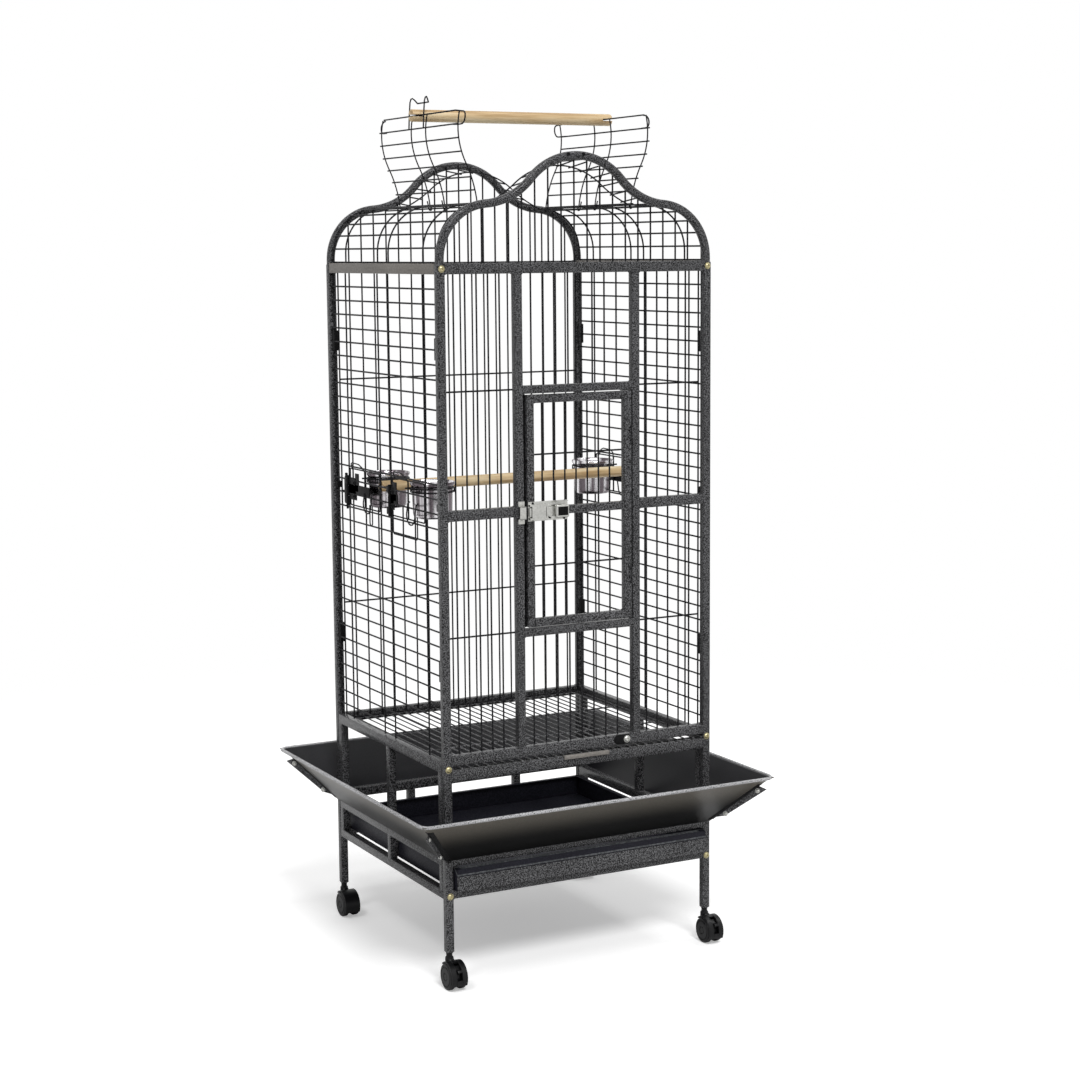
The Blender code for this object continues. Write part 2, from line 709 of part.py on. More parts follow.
def caster(word, sx, sy):
    """A twin-wheel castor that trails to the front: the body between the wheels carries the leg's stem."""
    x, y = sx * (half_w - tube / 2), sy * (half_d - tube / 2)
    high = wheel_r
    body_half = wheel_gap / 2 - 0.0008
    top = leg_foot - gap
    stem, web_r = 0.0045, 0.021
    ahead = lambda a, b, depth: (depth, y - a, b)
    on_ring = lambda r, a: (trail + r * math.cos(a), high + r * math.sin(a))
    web = [(-stem, top), (-stem, 0.058), (-0.0075, 0.0575), (-0.0075, 0.040), (-0.002, 0.022)]
    web += [on_ring(web_r, a) for a in (-2.3, -1.6, -0.8, 0, 0.7, 1.3)]
    web += [(0.012, 0.0575), (stem, 0.058), (stem, top)]
    bore = circle(trail, high, axle_r + 0.0004, 10)
    body = prism([web, bore], ahead, x - body_half, x + body_half)
    stand(body, "caster_body_" + word, black, (x, y, top))
    inner, outer = wheel_gap / 2, wheel_gap / 2 + wheel_w
    rim = wheel_r / math.cos(math.pi / wheel_sides)
    profile = [(rim, -outer), (rim, -inner), (axle_r, -inner), (axle_r, inner), (rim, inner), (rim, outer)]
    flat = -math.pi / 2 + math.pi / wheel_sides
    axle = (x, y - trail, high)
    loops = []
    for r, h in profile:
        loops.append([(x + h, axle[1] + a, high + b) for a, b in circle(0, 0, r, wheel_sides, flat)])
    stand(loft(loops), "caster_wheels_" + word, black, axle)
    if sy < 0:
        # The brake's pedal rides over the web between the wheels, with a tab that sticks out.
        near, far, tab = web_r + gap + 0.0002, wheel_r - 0.001, wheel_r + 0.0085
        pedal = [on_ring(near, a) for a in (0.35, 0.48, 0.61, 0.74, 0.87, 1.0, 1.15)]
        pedal += [on_ring(far, a) for a in (1.15, 0.95, 0.75)]
        pedal += [on_ring(tab, a) for a in (0.57, 0.45)]
        lever = prism([pedal], ahead, x - body_half, x + body_half)
        stand(lever, "caster_brake_" + word, black, axle)


def feeder(word, side, hinge_y):
    """A swing-out feeder door between two uprights, with a ring that carries a cup inside the cage."""
    above, below = feeder_rows
    far, near = side_wires_y
    width = far - near
    edge = 0.0055
    columns = [hinge_y - width + edge, hinge_y - width / 2, hinge_y - edge]
    rows = [row_z(k) for k in reversed(range(above + 1, below))]
    rows = [row_z(below) + 0.0046] + rows + [row_z(above) - 0.0046]
    place = lambda u, v, h: (side * (side_x - h), u, v)
    barrel_r = 0.0034
    axis = (side * (side_x + gap + barrel_r), hinge_y - 0.002)
    z_ring = cup_top - 0.0105
    pivot = (*axis, z_ring)
    obj = stand(wire_net(*grid(columns, rows), place), word + "_feeder_door", wire_steel, pivot)
    cx, cy = half_w - cup_inset, hinge_y - width / 2
    arm = 0.014
    ring_r = cup_r + 0.004
    turn = math.asin(arm / ring_r)
    arc = [turn + (2 * math.pi - 2 * turn) * i / 14 for i in range(15)]
    outline = [(side * (cx + ring_r * math.cos(a)), cy + ring_r * math.sin(a)) for a in arc]
    outline += [(side * (side_x - half_wire), cy - arm), (side * (side_x - half_wire), cy + arm)]
    inner = [(side * cx + a, cy + b) for a, b in circle(0, 0, cup_r + 0.0009, 16)]
    tool = prism([outline, inner], lambda a, b, depth: (a, b, depth), z_ring - 0.008, z_ring)
    strap = rectangle(hinge_y - edge, hinge_y - 0.111, row_z(below - 1) + 0.0005, row_z(below - 1) + 0.0205)
    prism([strap], facing_x, side * (side_x - 0.0006), side * (side_x + 0.0014), tool)
    join(obj, tool)
    z0, z1 = row_z(below) + 0.003, row_z(above + 1) + 0.009
    ends = [[(axis[0] + a, axis[1] + b, z) for a, b in circle(0, 0, barrel_r, 8)] for z in (z0, z1)]
    stand(loft(ends), word + "_feeder_hinge", black)
    low = cup_top - cup_h
    under = z_ring + gap
    wall = 0.0012
    profile = [
        (cup_r - 0.006, low), (cup_r, low + 0.009), (cup_r, under), (cup_rim_r, under),
        (cup_rim_r, cup_top), (cup_r - wall, cup_top), (cup_r - wall, low + 0.009 + wall),
        (cup_r - 0.007, low + wall),
    ]
    cup = spun(profile, 16, lambda a, b, h: (side * cx + a, cy + b, h))
    stand(cup, word + "_cup", stainless, (side * cx, cy, low), smooth=True)


def clear_scene():
    for obj in list(bpy.data.objects):
        bpy.data.objects.remove(obj)


def build():
    clear_scene()
    front_frame()
    rear_frame()
    front_wires()
    dome_and_rear_wires()
    for side, word, bays in ((-1, "left", (1, 3)), (1, "right", (3,))):
        side_frames(side, word)
        side_panel(side, word, bays)
        shoulder(side, word)
        hinge_rod(side, word)
        wing(side, word)
    crown_strip(-1, "front")
    crown_strip(1, "rear")
    perches()
    door()
    grate()
    tray()
    skirt()
    far, near = side_wires_y
    feeder("left_rear", -1, far)
    feeder("left_front", -1, -near)
    feeder("right_rear", 1, far)
    for word, sx, sy in corners:
        caster(word, sx, sy)


build()
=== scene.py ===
"""Looks of the open-top bird cage on castors, in metres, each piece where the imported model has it."""
import math

import bmesh
import bpy
from mathutils import Matrix, Vector


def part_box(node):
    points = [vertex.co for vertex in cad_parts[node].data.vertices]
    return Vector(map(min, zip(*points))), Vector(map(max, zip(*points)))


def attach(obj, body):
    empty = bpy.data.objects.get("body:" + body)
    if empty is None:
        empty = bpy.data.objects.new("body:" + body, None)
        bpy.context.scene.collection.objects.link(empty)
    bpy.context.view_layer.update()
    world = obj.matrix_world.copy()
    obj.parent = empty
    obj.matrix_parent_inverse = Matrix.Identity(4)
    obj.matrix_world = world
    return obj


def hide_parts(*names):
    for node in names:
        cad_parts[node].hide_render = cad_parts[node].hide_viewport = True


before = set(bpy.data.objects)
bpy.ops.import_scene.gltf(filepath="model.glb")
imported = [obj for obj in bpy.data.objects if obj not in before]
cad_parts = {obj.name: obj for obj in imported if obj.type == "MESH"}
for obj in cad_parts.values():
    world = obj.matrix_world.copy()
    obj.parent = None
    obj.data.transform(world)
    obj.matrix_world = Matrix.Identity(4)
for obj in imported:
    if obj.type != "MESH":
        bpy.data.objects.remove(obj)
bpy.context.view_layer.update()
scene = bpy.context.scene
scene.view_settings.view_transform = "Standard"

# Camera: eye height of a standing person at the cage's left front corner, a long lens and no shift.
# Place, turn and lens come from the cage's own known corners in the photo.
lens = bpy.data.cameras.new("camera")
lens.sensor_width = 36
lens.lens = 70.908
lens.clip_end = 60
camera = bpy.data.objects.new("camera", lens)
camera.matrix_world = (
    Matrix.Translation((-1.9887, -3.8779, 1.4192))
    @ Matrix.Rotation(math.radians(-27.7812), 4, "Z")
    @ Matrix.Rotation(math.radians(90 - 7.7791), 4, "X")
    @ Matrix.Rotation(math.radians(-0.4864), 4, "Z")
)
scene.collection.objects.link(camera)
scene.camera = camera


# Studio: an even white room, which lights the cage at under half strength from all round, a broad soft
# lamp high in front and two weaker ones overhead, which draw the light lines along the tubes' top edges.
def add_node(tree, kind, sockets=None, **settings):
    """Adds a shader node with its settings, and fills its sockets with values or links."""
    made = tree.nodes.new("ShaderNode" + kind)
    for name, value in settings.items():
        setattr(made, name, value)
    for name, value in (sockets or {}).items():
        if isinstance(value, bpy.types.NodeSocket):
            tree.links.new(value, made.inputs[name])
        else:
            made.inputs[name].default_value = value
    return made


room_level = 0.43
room = bpy.data.worlds.new("studio")
scene.world = room
room.use_nodes = True
tree = room.node_tree
tree.nodes.clear()
rays = add_node(tree, "LightPath")
mirrored = add_node(
    tree, "Math", {0: rays.outputs["Is Glossy Ray"], 1: rays.outputs["Is Transmission Ray"]},
    operation="MAXIMUM",
)
seen = add_node(tree, "Math", {0: mirrored.outputs[0], 1: rays.outputs["Is Camera Ray"]}, operation="MAXIMUM")
level = add_node(tree, "MapRange", {"Value": seen.outputs[0], "To Min": room_level, "To Max": 1.0})
air = add_node(tree, "Background", {"Color": (1, 1, 1, 1), "Strength": level.outputs[0]})
add_node(tree, "OutputWorld", {"Surface": air.outputs[0]})
for name, strength, spread, toward in (
    ("front_lamp", 1.7, 18, (-0.10, -0.75, 0.85)), ("left_lamp", 0.5, 10, (-0.46, -0.33, 0.82)),
    ("right_lamp", 0.5, 10, (0.45, -0.12, 0.88)),
):
    lamp_data = bpy.data.lights.new(name, "SUN")
    lamp_data.energy = strength
    lamp_data.angle = math.radians(spread)
    lamp = bpy.data.objects.new(name, lamp_data)
    lamp.matrix_world = Vector(toward).to_track_quat("Z", "Y").to_matrix().to_4x4()
    scene.collection.objects.link(lamp)


# Floor: a plain pale floor, a round sheet of matt board that keeps the shadow and runs out into white.
# It glows a little to the camera, so that only the shadow under the cage is darker than the room.
def new_material(name):
    """An empty material, its node tree, and the place on the object that its patterns follow."""
    material = bpy.data.materials.new(name)
    material.use_nodes = True
    tree = material.node_tree
    tree.nodes.clear()
    return material, tree, add_node(tree, "TexCoord").outputs["Object"]


floor_r, fade_from, fade_to, glow_level = 4.0, 1.3, 3.0, 0.34
bm = bmesh.new()
bmesh.ops.create_circle(bm, cap_ends=True, segments=96, radius=floor_r)
mesh = bpy.data.meshes.new("floor")
bm.to_mesh(mesh)
bm.free()
floor = bpy.data.objects.new("floor", mesh)
scene.collection.objects.link(floor)
board, tree, where = new_material("matt_board")
reach = add_node(tree, "VectorMath", {0: where}, operation="LENGTH")
away = add_node(
    tree, "MapRange", {"Value": reach.outputs["Value"], "From Min": fade_from, "From Max": fade_to},
    interpolation_type="SMOOTHSTEP",
)
rays = add_node(tree, "LightPath")
lift = add_node(tree, "Math", {0: rays.outputs["Is Camera Ray"], 1: glow_level}, operation="MULTIPLY")
paint = add_node(tree, "BsdfDiffuse", {"Color": (0.9, 0.9, 0.9, 1)})
glow = add_node(tree, "Emission", {"Color": (1, 1, 1, 1), "Strength": lift.outputs[0]})
lit = add_node(tree, "AddShader", {0: paint.outputs[0], 1: glow.outputs[0]})
clear = add_node(tree, "BsdfTransparent")
mixed = add_node(tree, "MixShader", {"Fac": away.outputs[0], 1: lit.outputs[0], 2: clear.outputs[0]})
add_node(tree, "OutputMaterial", {"Surface": mixed.outputs[0]})
floor.data.materials.append(board)


# Front frame: two full-height legs with the bent dome tube over them, and rails, stiles and door
# surround, all mild steel tube of 16 mm, cut square and welded with small fillets, then powder coated.
def linear(code):
    """An sRGB hex colour as a shader's linear one."""
    parts = [int(code[i:i + 2], 16) / 255 for i in (0, 2, 4)]
    return (*[p / 12.92 if p < 0.04045 else ((p + 0.055) / 1.055) ** 2.4 for p in parts], 1)


def hammered_coat(name, dark, light, grain, rough, depth, gloss=0.25, veins_from=0.43, veins_to=0.60):
    """Hammered powder coat: grey metal flake that flows into pale cells with dark veins while it is
    baked, over a dimpled skin. The eye gets a salt and pepper speckle with a soft broken sheen. Real
    cells are 1 to 2 mm; they are drawn at the grain size so that they show from a few steps away."""
    coat, tree, where = new_material(name)
    flake = add_node(
        tree, "TexNoise", {"Vector": where, "Scale": 1 / grain, "Detail": 3.0, "Roughness": 0.62}
    )
    drift = add_node(tree, "TexNoise", {"Vector": where, "Scale": 9.0, "Detail": 2.0})
    veins = add_node(
        tree, "MapRange", {"Value": flake.outputs["Fac"], "From Min": veins_from, "From Max": veins_to},
        interpolation_type="SMOOTHSTEP",
    )
    tone = add_node(tree, "Mix", {0: veins.outputs[0], 6: linear(dark), 7: linear(light)}, data_type="RGBA")
    cloud = add_node(
        tree, "MapRange",
        {"Value": drift.outputs["Fac"], "From Min": 0.3, "From Max": 0.7, "To Min": 0.88, "To Max": 1.1},
    )
    colour = add_node(tree, "VectorMath", {0: tone.outputs[2], 1: cloud.outputs[0]}, operation="MULTIPLY")
    sheen = add_node(
        tree, "MapRange",
        {"Value": flake.outputs["Fac"], "From Min": 0.3, "From Max": 0.7,
         "To Min": rough + 0.10, "To Max": rough - 0.06},
    )
    dimples = add_node(
        tree, "TexVoronoi", {"Vector": where, "Scale": 0.8 / grain, "Smoothness": 1.0}, feature="SMOOTH_F1"
    )
    height = add_node(
        tree, "Math", {0: dimples.outputs["Distance"], 1: flake.outputs["Fac"]}, operation="ADD"
    )
    skin = add_node(tree, "Bump", {"Height": height.outputs[0], "Strength": depth, "Distance": grain / 6})
    shader = add_node(
        tree, "BsdfPrincipled",
        {"Base Color": colour.outputs[0], "Roughness": sheen.outputs[0], "Normal": skin.outputs[0],
         "Specular IOR Level": gloss, "IOR": 1.27},
    )
    add_node(tree, "OutputMaterial", {"Surface": shader.outputs[0]})
    return coat


silver_vein = hammered_coat("hammered_powder_coat", "0A0A0B", "6A6A6C", 0.0022, 0.22, 0.6, 0.5)


def keep_piece(bm, name, body, material, stands_for=(), crease=38):
    """Closes a piece's mesh, gives it its finish and fixes it to its body."""
    bmesh.ops.recalc_face_normals(bm, faces=bm.faces)
    mesh = bpy.data.meshes.new(name)
    bm.to_mesh(mesh)
    bm.free()
    mesh.shade_smooth()
    mesh.set_sharp_from_angle(angle=math.radians(crease))
    mesh.materials.append(material)
    piece = bpy.data.objects.new(name, mesh)
    scene.collection.objects.link(piece)
    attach(piece, body)
    if stands_for:
        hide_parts(*stands_for)
    return piece


def soften(bm, edges, width, segments=2):
    """Rounds these edges over."""
    bmesh.ops.bevel(
        bm, geom=edges, offset=width, affect="EDGES", segments=segments, profile=0.5, material=-1
    )


def bar(bm, start, end, corner=0.0014, segments=2):
    """A length of square tube or flat steel from one corner to the opposite one, with softened edges."""
    start, end = Vector(start), Vector(end)
    size = [abs(a - b) for a, b in zip(start, end)]
    stretch = Matrix.Translation((start + end) / 2) @ Matrix.Diagonal((*size, 1))
    verts = bmesh.ops.create_cube(bm, size=1, matrix=stretch)["verts"]
    soften(bm, list({edge for vert in verts for edge in vert.link_edges}), corner, segments)


def sweep(bm, points, radius, sides=8, turn=0.0, corner=0.0):
    """Draws a round or square section along a row of points, turned at each bend, with closed ends."""
    points = [Vector(point) for point in points]
    runs = [(after - before).normalized() for before, after in zip(points, points[1:])]
    facing = runs[0].to_track_quat("Z", "Y").to_matrix().to_4x4()
    start = Matrix.Translation(points[0]) @ facing @ Matrix.Rotation(turn, 4, "Z")
    ring = bmesh.ops.create_circle(bm, cap_ends=True, segments=sides, radius=radius, matrix=start)["verts"]
    face = ring[0].link_faces[0]
    if corner:
        made = bmesh.ops.bevel(
            bm, geom=ring, offset=corner, affect="VERTICES", segments=4, profile=0.5, material=-1
        )
        face = made["verts"][0].link_faces[0]
    heading = runs[0]
    for n in range(1, len(points)):
        after = (runs[n - 1] + runs[min(n, len(runs) - 1)]).normalized()
        made = bmesh.ops.extrude_face_region(bm, geom=[face, *face.edges, *face.verts])["geom"]
        face = next(item for item in made if isinstance(item, bmesh.types.BMFace))
        bend = heading.rotation_difference(after).to_matrix().to_4x4()
        move = Matrix.Translation(points[n]) @ bend @ Matrix.Translation(-points[n - 1])
        bmesh.ops.transform(bm, matrix=move, verts=face.verts)
        heading = after


def walk(path, s):
    """The point and heading at distance s along a path of straights and arcs in the XZ plane."""
    x, z, heading = path[0]
    for length, turn in path[1:]:
        step = min(s, length)
        s -= step
        if turn:
            radius = length / turn
            after = heading + step / radius
            x += radius * (math.sin(after) - math.sin(heading))
            z -= radius * (math.cos(after) - math.cos(heading))
            heading = after
        else:
            x += step * math.cos(heading)
            z += step * math.sin(heading)
    return x, z, heading


def path_length(path):
    return sum(length for length, _ in path[1:])


half_w, half_d, tube = 0.300, 0.2725, 0.016
inner_w, inner_d = half_w - tube, half_d - tube
foot, head_low, head_top = 0.068, 1.3745, 1.3945


def dome_path(start_z, shoulder_r, hollow_r, low_slope, high_slope, inset):
    """A dome from right to left: round shoulder, hollow and round crown, this far inside its outer face."""
    low_slope, high_slope = math.radians(low_slope), math.radians(high_slope)
    start = (half_w - inset, start_z, math.pi / 2)
    shoulder = ((shoulder_r - inset) * (math.pi / 2 - low_slope), math.pi / 2 - low_slope)
    hollow = ((hollow_r + inset) * (high_slope - low_slope), low_slope - high_slope)
    crown_x = walk([start, shoulder, hollow], shoulder[0] + hollow[0])[0]
    crown = (crown_x / math.sin(high_slope) * 2 * high_slope, 2 * high_slope)
    return [start, shoulder, hollow, crown, hollow, shoulder]


def weld(bm, centre, across, along, bead=0.0011):
    """A weld's fillet round the end of a tube: a thin rope of metal, this size either side of the centre."""
    centre, a, b = Vector(centre), Vector(across), Vector(along)
    corners = [centre - a - b, centre + a - b, centre + a + b, centre - a + b, centre - a - b]
    sweep(bm, corners, bead, 6)


frame_dome = (1.400, 0.1135, 0.1335, 4.2, 48.4)


def frame_hoop(bm, y):
    """Legs and dome of one frame: straight square legs, and a rounder tube bent over them."""
    path = dome_path(*frame_dome, tube / 2)
    total, count, end_z = path_length(path), 96, head_low - 0.004
    points = [(half_w - tube / 2, y, end_z)]
    for i in range(count + 1):
        x, z, _ = walk(path, total * i / count)
        points.append((x, y, z))
    points.append((tube / 2 - half_w, y, end_z))
    sweep(bm, points, tube / math.sqrt(2), 4, math.pi / 4, 0.0062)
    for side in (-1, 1):
        top = head_top - 0.002
        bar(bm, (side * inner_w, y - tube / 2, foot), (side * half_w, y + tube / 2, top), 0.0022, 3)


def rail_between(bm, x0, x1, z0, z1, y):
    """A rail across a frame with a fillet at each end."""
    bar(bm, (x0, y - tube / 2, z0), (x1, y + tube / 2, z1))
    for x in (x0 + 0.0004, x1 - 0.0004):
        weld(bm, (x, y, (z0 + z1) / 2), (0, tube / 2, 0), (0, 0, (z1 - z0) / 2))


stile_left, stile_right = -0.131, 0.127
opening_left, opening_right = stile_left + tube / 2, stile_right - tube / 2
opening_low, opening_top, surround = 0.690, 1.146, 0.0155
head_rail, mid_rail, sill, slot_sill = (head_low, head_top), (0.910, 0.930), (0.437, 0.457), (0.406, 0.428)
stand_rail, base_rail = (0.240, 0.256), (0.175, 0.191)
front_y = -half_d + tube / 2
bm = bmesh.new()
frame_hoop(bm, front_y)
for rail in (head_rail, sill, slot_sill, stand_rail, base_rail):
    rail_between(bm, -inner_w, inner_w, *rail, front_y)
for x in (stile_left, stile_right):
    bar(bm, (x - tube / 2, -half_d, sill[1]), (x + tube / 2, -inner_d, head_low))
    for z in (sill[1] + 0.0004, head_low - 0.0004):
        weld(bm, (x, front_y, z), (tube / 2, 0, 0), (0, tube / 2, 0))
rail_between(bm, -inner_w, stile_left - tube / 2, *mid_rail, front_y)
rail_between(bm, stile_right + tube / 2, inner_w, *mid_rail, front_y)
rail_between(bm, opening_left, opening_right, opening_low - surround, opening_low, front_y)
rail_between(bm, opening_left, opening_right, opening_top, opening_top + surround, front_y)
keep_piece(bm, "front_frame_tubes", "cage", silver_vein, ("front_frame",))

# Rear frame: the same legs and dome, with one floor rail, and two short uprights under the stand rail.
# Same tube, same welds, same coat.
floor_rail, rear_stand_rail = (0.422, 0.442), (0.255, 0.275)
rear_y = half_d - tube / 2
bm = bmesh.new()
frame_hoop(bm, rear_y)
for rail in (head_rail, floor_rail, rear_stand_rail, base_rail):
    rail_between(bm, -inner_w, inner_w, *rail, rear_y)
for x in (stile_left, stile_right):
    bar(bm, (x - tube / 2, inner_d, base_rail[1]), (x + tube / 2, half_d, rear_stand_rail[0]))
keep_piece(bm, "rear_frame_tubes", "cage", silver_vein, ("rear_frame",))

# Side frames: the stand's flat frames of tube with a middle upright, bolted between the front and rear
# frames, and the top rails above them. Cut from the same tube, the ledges from folded strip. The top
# rails' coat is plain grey, without the hammered speckle, and drawn paler than the frames: painted light
# on the rails' sides.
panel_d = inner_d - 0.0003
sides = ((-1, "left"), (1, "right"))
# Pale rail coat: its light grey is painted light, for the light that falls on the rails.
pale_rail_coat_painted_light = hammered_coat("plain_powder_coat_painted_light", "7A7672", "8A8681", 0.0040, 0.40, 0.15)
for side, word in sides:
    bm = bmesh.new()
    bar(bm, (side * inner_w, -panel_d, head_low), (side * half_w, panel_d, head_top))
    keep_piece(bm, word + "_top_rail_tube", "cage", pale_rail_coat_painted_light, (word + "_top_rail",))
    bm = bmesh.new()
    for low, high in ((0.173, 0.190), (0.238, 0.258), floor_rail):
        bar(bm, (side * inner_w, -panel_d, low), (side * half_w, panel_d, high))
    x0, x1 = side * (inner_w + 0.0002), side * (half_w - 0.0002)
    for y in (-panel_d + tube / 2, 0, panel_d - tube / 2):
        bar(bm, (x0, y - tube / 2, 0.176), (x1, y + tube / 2, 0.439))
    keep_piece(bm, word + "_stand_tubes", "cage", silver_vein, (word + "_stand_frame",))
    bm = bmesh.new()
    x0, x1 = side * (inner_w - 0.0003), side * (inner_w - 0.012)
    bar(bm, (x0, -panel_d, 0.426), (x1, panel_d, 0.4285), 0.0006)
    keep_piece(bm, word + "_ledge_strip", "cage", silver_vein, (word + "_grate_ledge",))


# Bolts: button-head socket bolts of yellow zinc-plated steel that hold the side frames to the posts,
# one at each rail end, with a small washer under the head. The grate's lock turns on a brighter one.
def grained_surface(name, tone_from, tone_to, scale, detail, smooth, rough, shading):
    """A fine cloudy grain that shows in the colour, in the sheen and a little in the skin."""
    material, tree, where = new_material(name)
    grain = add_node(tree, "TexNoise", {"Vector": where, "Scale": scale, "Detail": detail})
    tone = add_node(
        tree, "Mix", {0: grain.outputs["Fac"], 6: linear(tone_from), 7: linear(tone_to)}, data_type="RGBA"
    )
    sheen = add_node(tree, "MapRange", {"Value": grain.outputs["Fac"], "To Min": smooth, "To Max": rough})
    skin = add_node(tree, "Bump", {"Height": grain.outputs["Fac"], "Strength": 0.15, "Distance": 0.0003})
    shader = add_node(
        tree, "BsdfPrincipled",
        {"Base Color": tone.outputs[2], "Roughness": sheen.outputs[0], "Normal": skin.outputs[0], **shading},
    )
    add_node(tree, "OutputMaterial", {"Surface": shader.outputs[0]})
    return material


# Zinc plate: the eye sees bright metal, slightly cloudy, with a faint tint that drifts over the surface.
metal = {"Metallic": 1.0}
yellow_zinc = grained_surface("yellow_zinc_plate", "C9C19C", "8E8562", 260, 4, 0.24, 0.42, metal)
zinc = grained_surface("bright_zinc_plate", "D2D2CE", "9A9A96", 260, 4, 0.22, 0.40, metal)


def turned(bm, at, axis, profile, sides=24):
    """Turns a profile of (radius, distance along the axis) points round the axis."""
    facing = Vector(axis).to_track_quat("Z", "Y").to_matrix().to_4x4()
    verts = [bm.verts.new((r, 0, h)) for r, h in profile]
    edges = [bm.edges.new(pair) for pair in zip(verts, verts[1:])]
    bmesh.ops.spin(
        bm, geom=verts + edges, cent=(0, 0, 0), axis=(0, 0, 1), angle=2 * math.pi, steps=sides,
        use_merge=True,
    )
    shape = {vert for vert in verts if vert.is_valid}
    todo = list(shape)
    while todo:
        for edge in todo.pop().link_edges:
            for vert in edge.verts:
                if vert not in shape:
                    shape.add(vert)
                    todo.append(vert)
    bmesh.ops.remove_doubles(bm, verts=list(shape), dist=1e-6)
    shape = [vert for vert in shape if vert.is_valid]
    bmesh.ops.transform(bm, matrix=Matrix.Translation(at) @ facing, verts=shape)


def bolt_head(bm, at, axis, r=0.0056, high=0.0030):
    washer = r * 1.18
    turned(bm, at, axis, [
        (0, 0), (washer, 0), (washer, 0.0006), (r, 0.0006), (r * 0.97, high * 0.45), (r * 0.75, high * 0.85),
        (r * 0.52, high), (r * 0.46, high * 0.96), (r * 0.42, high * 0.35), (0, high * 0.35),
    ], 18)


front, rear, proud = (0, -1, 0), (0, 1, 0), half_d + 0.0001
bolt_x, bolt_rows = 0.2915, (1.3845, 0.4315, 0.1805)
bm = bmesh.new()
for x in (-bolt_x, bolt_x):
    for z in bolt_rows:
        bolt_head(bm, (x, -proud, z), front)
        bolt_head(bm, (x, proud, z), rear)
keep_piece(bm, "frame_bolts", "cage", yellow_zinc)
bm = bmesh.new()
bolt_head(bm, (0.102, -half_d - 0.0030, 0.448), front, 0.0062)
keep_piece(bm, "grate_lock_bolt", "cage", zinc)
# Two holes at the crown closed with black plugs, and a coated button low on the front left leg.
black_coat = hammered_coat("black_powder_coat", "0A0A0B", "161617", 0.0026, 0.46, 0.35)
bm = bmesh.new()
for x in (-0.0210, 0.0120):
    plug = [(0, 0), (0.0036, 0), (0.0034, 0.0012), (0, 0.0014)]
    turned(bm, (x, -half_d + 0.0003, 1.5985), front, plug, 16)
keep_piece(bm, "hole_plugs", "cage", black_coat)
bm = bmesh.new()
button = [(0, 0), (0.0060, 0), (0.0058, 0.0030), (0.0040, 0.0048), (0, 0.0052)]
turned(bm, (-0.292, -proud, 0.246), front, button, 18)
keep_piece(bm, "leg_stop_button", "cage", silver_vein)


# Wire panels: straight cold-drawn wire of 3 mm, laid in two layers and spot welded where they cross,
# coated with the frames. The uprights of the front and rear panels and the rows of the sides carry the look.
wire_coat = hammered_coat("wire_powder_coat", "0E0E10", "363638", 0.0024, 0.42, 0.35, 0.15)
wire_r, coated_r = 0.0015, 0.00175
layer = 0.0027


def rod(bm, start, end, radius=coated_r, sides=8):
    """A straight length of wire, as thick as it is with its coat."""
    start, end = Vector(start), Vector(end)
    run = end - start
    place = Matrix.Translation((start + end) / 2) @ run.to_track_quat("Z", "Y").to_matrix().to_4x4()
    bmesh.ops.create_cone(
        bm, cap_ends=True, segments=sides, radius1=radius, radius2=radius, depth=run.length, matrix=place
    )


def even(low, high, count):
    """This many places spread evenly between two limits, the limits left out."""
    return [low + (high - low) * i / (count + 1) for i in range(1, count + 1)]


edge_x = inner_w - 0.0028
sill_row, head_row = 0.4425, head_low + 0.006
door_row, mid_row, lintel_row = opening_low - surround / 2, 0.920, opening_top + surround / 2
wire_y = -panel_d + wire_r
bm = bmesh.new()
bays = even(-inner_w, stile_left - tube / 2, 5) + even(stile_right + tube / 2, inner_w, 5)
for x in bays + [-edge_x, edge_x]:
    rod(bm, (x, wire_y, sill_row), (x, wire_y, head_row))
for x in even(opening_left, opening_right, 8):
    rod(bm, (x, wire_y, sill_row), (x, wire_y, door_row + 0.004))
    rod(bm, (x, wire_y, lintel_row - 0.004), (x, wire_y, head_row))
behind = wire_y + layer
for z in (sill_row, door_row, lintel_row, head_row - 0.001):
    rod(bm, (-edge_x, behind, z), (edge_x, behind, z))
for x0, x1 in ((-edge_x, stile_left), (stile_right, edge_x)):
    rod(bm, (x0, behind, mid_row), (x1, behind, mid_row))
keep_piece(bm, "front_panel_wires", "cage", wire_coat, ("front_wires",))


def where_x(path, x):
    """How far along the path it comes to this x, for a path that runs from right to left."""
    low, high = 0.0, path_length(path)
    for _ in range(40):
        middle = (low + high) / 2
        low, high = (middle, high) if walk(path, middle)[0] > x else (low, middle)
    return low


under_tube = dome_path(*frame_dome, tube * 0.45)
field = even(-inner_w, inner_w, 19)
base_row = head_top - 0.005
for name, node, side, low, rows in (
    ("front_dome_uprights", "front_dome_wires", -1, head_top - 0.008, [base_row]),
    ("rear_panel_wires", "rear_wires", 1, 0.428, [0.432, door_row, mid_row, lintel_row, base_row]),
):
    bm = bmesh.new()
    y = side * (panel_d - wire_r)
    for x in field:
        rod(bm, (x, y, low), (x, y, walk(under_tube, where_x(under_tube, x))[1]))
    for x in (-edge_x, edge_x):
        rod(bm, (x, y, low), (x, y, head_top - 0.0045))
    for z in rows:
        rod(bm, (-edge_x, y - side * layer, z), (edge_x, y - side * layer, z))
    keep_piece(bm, name, "cage", wire_coat, (node,))

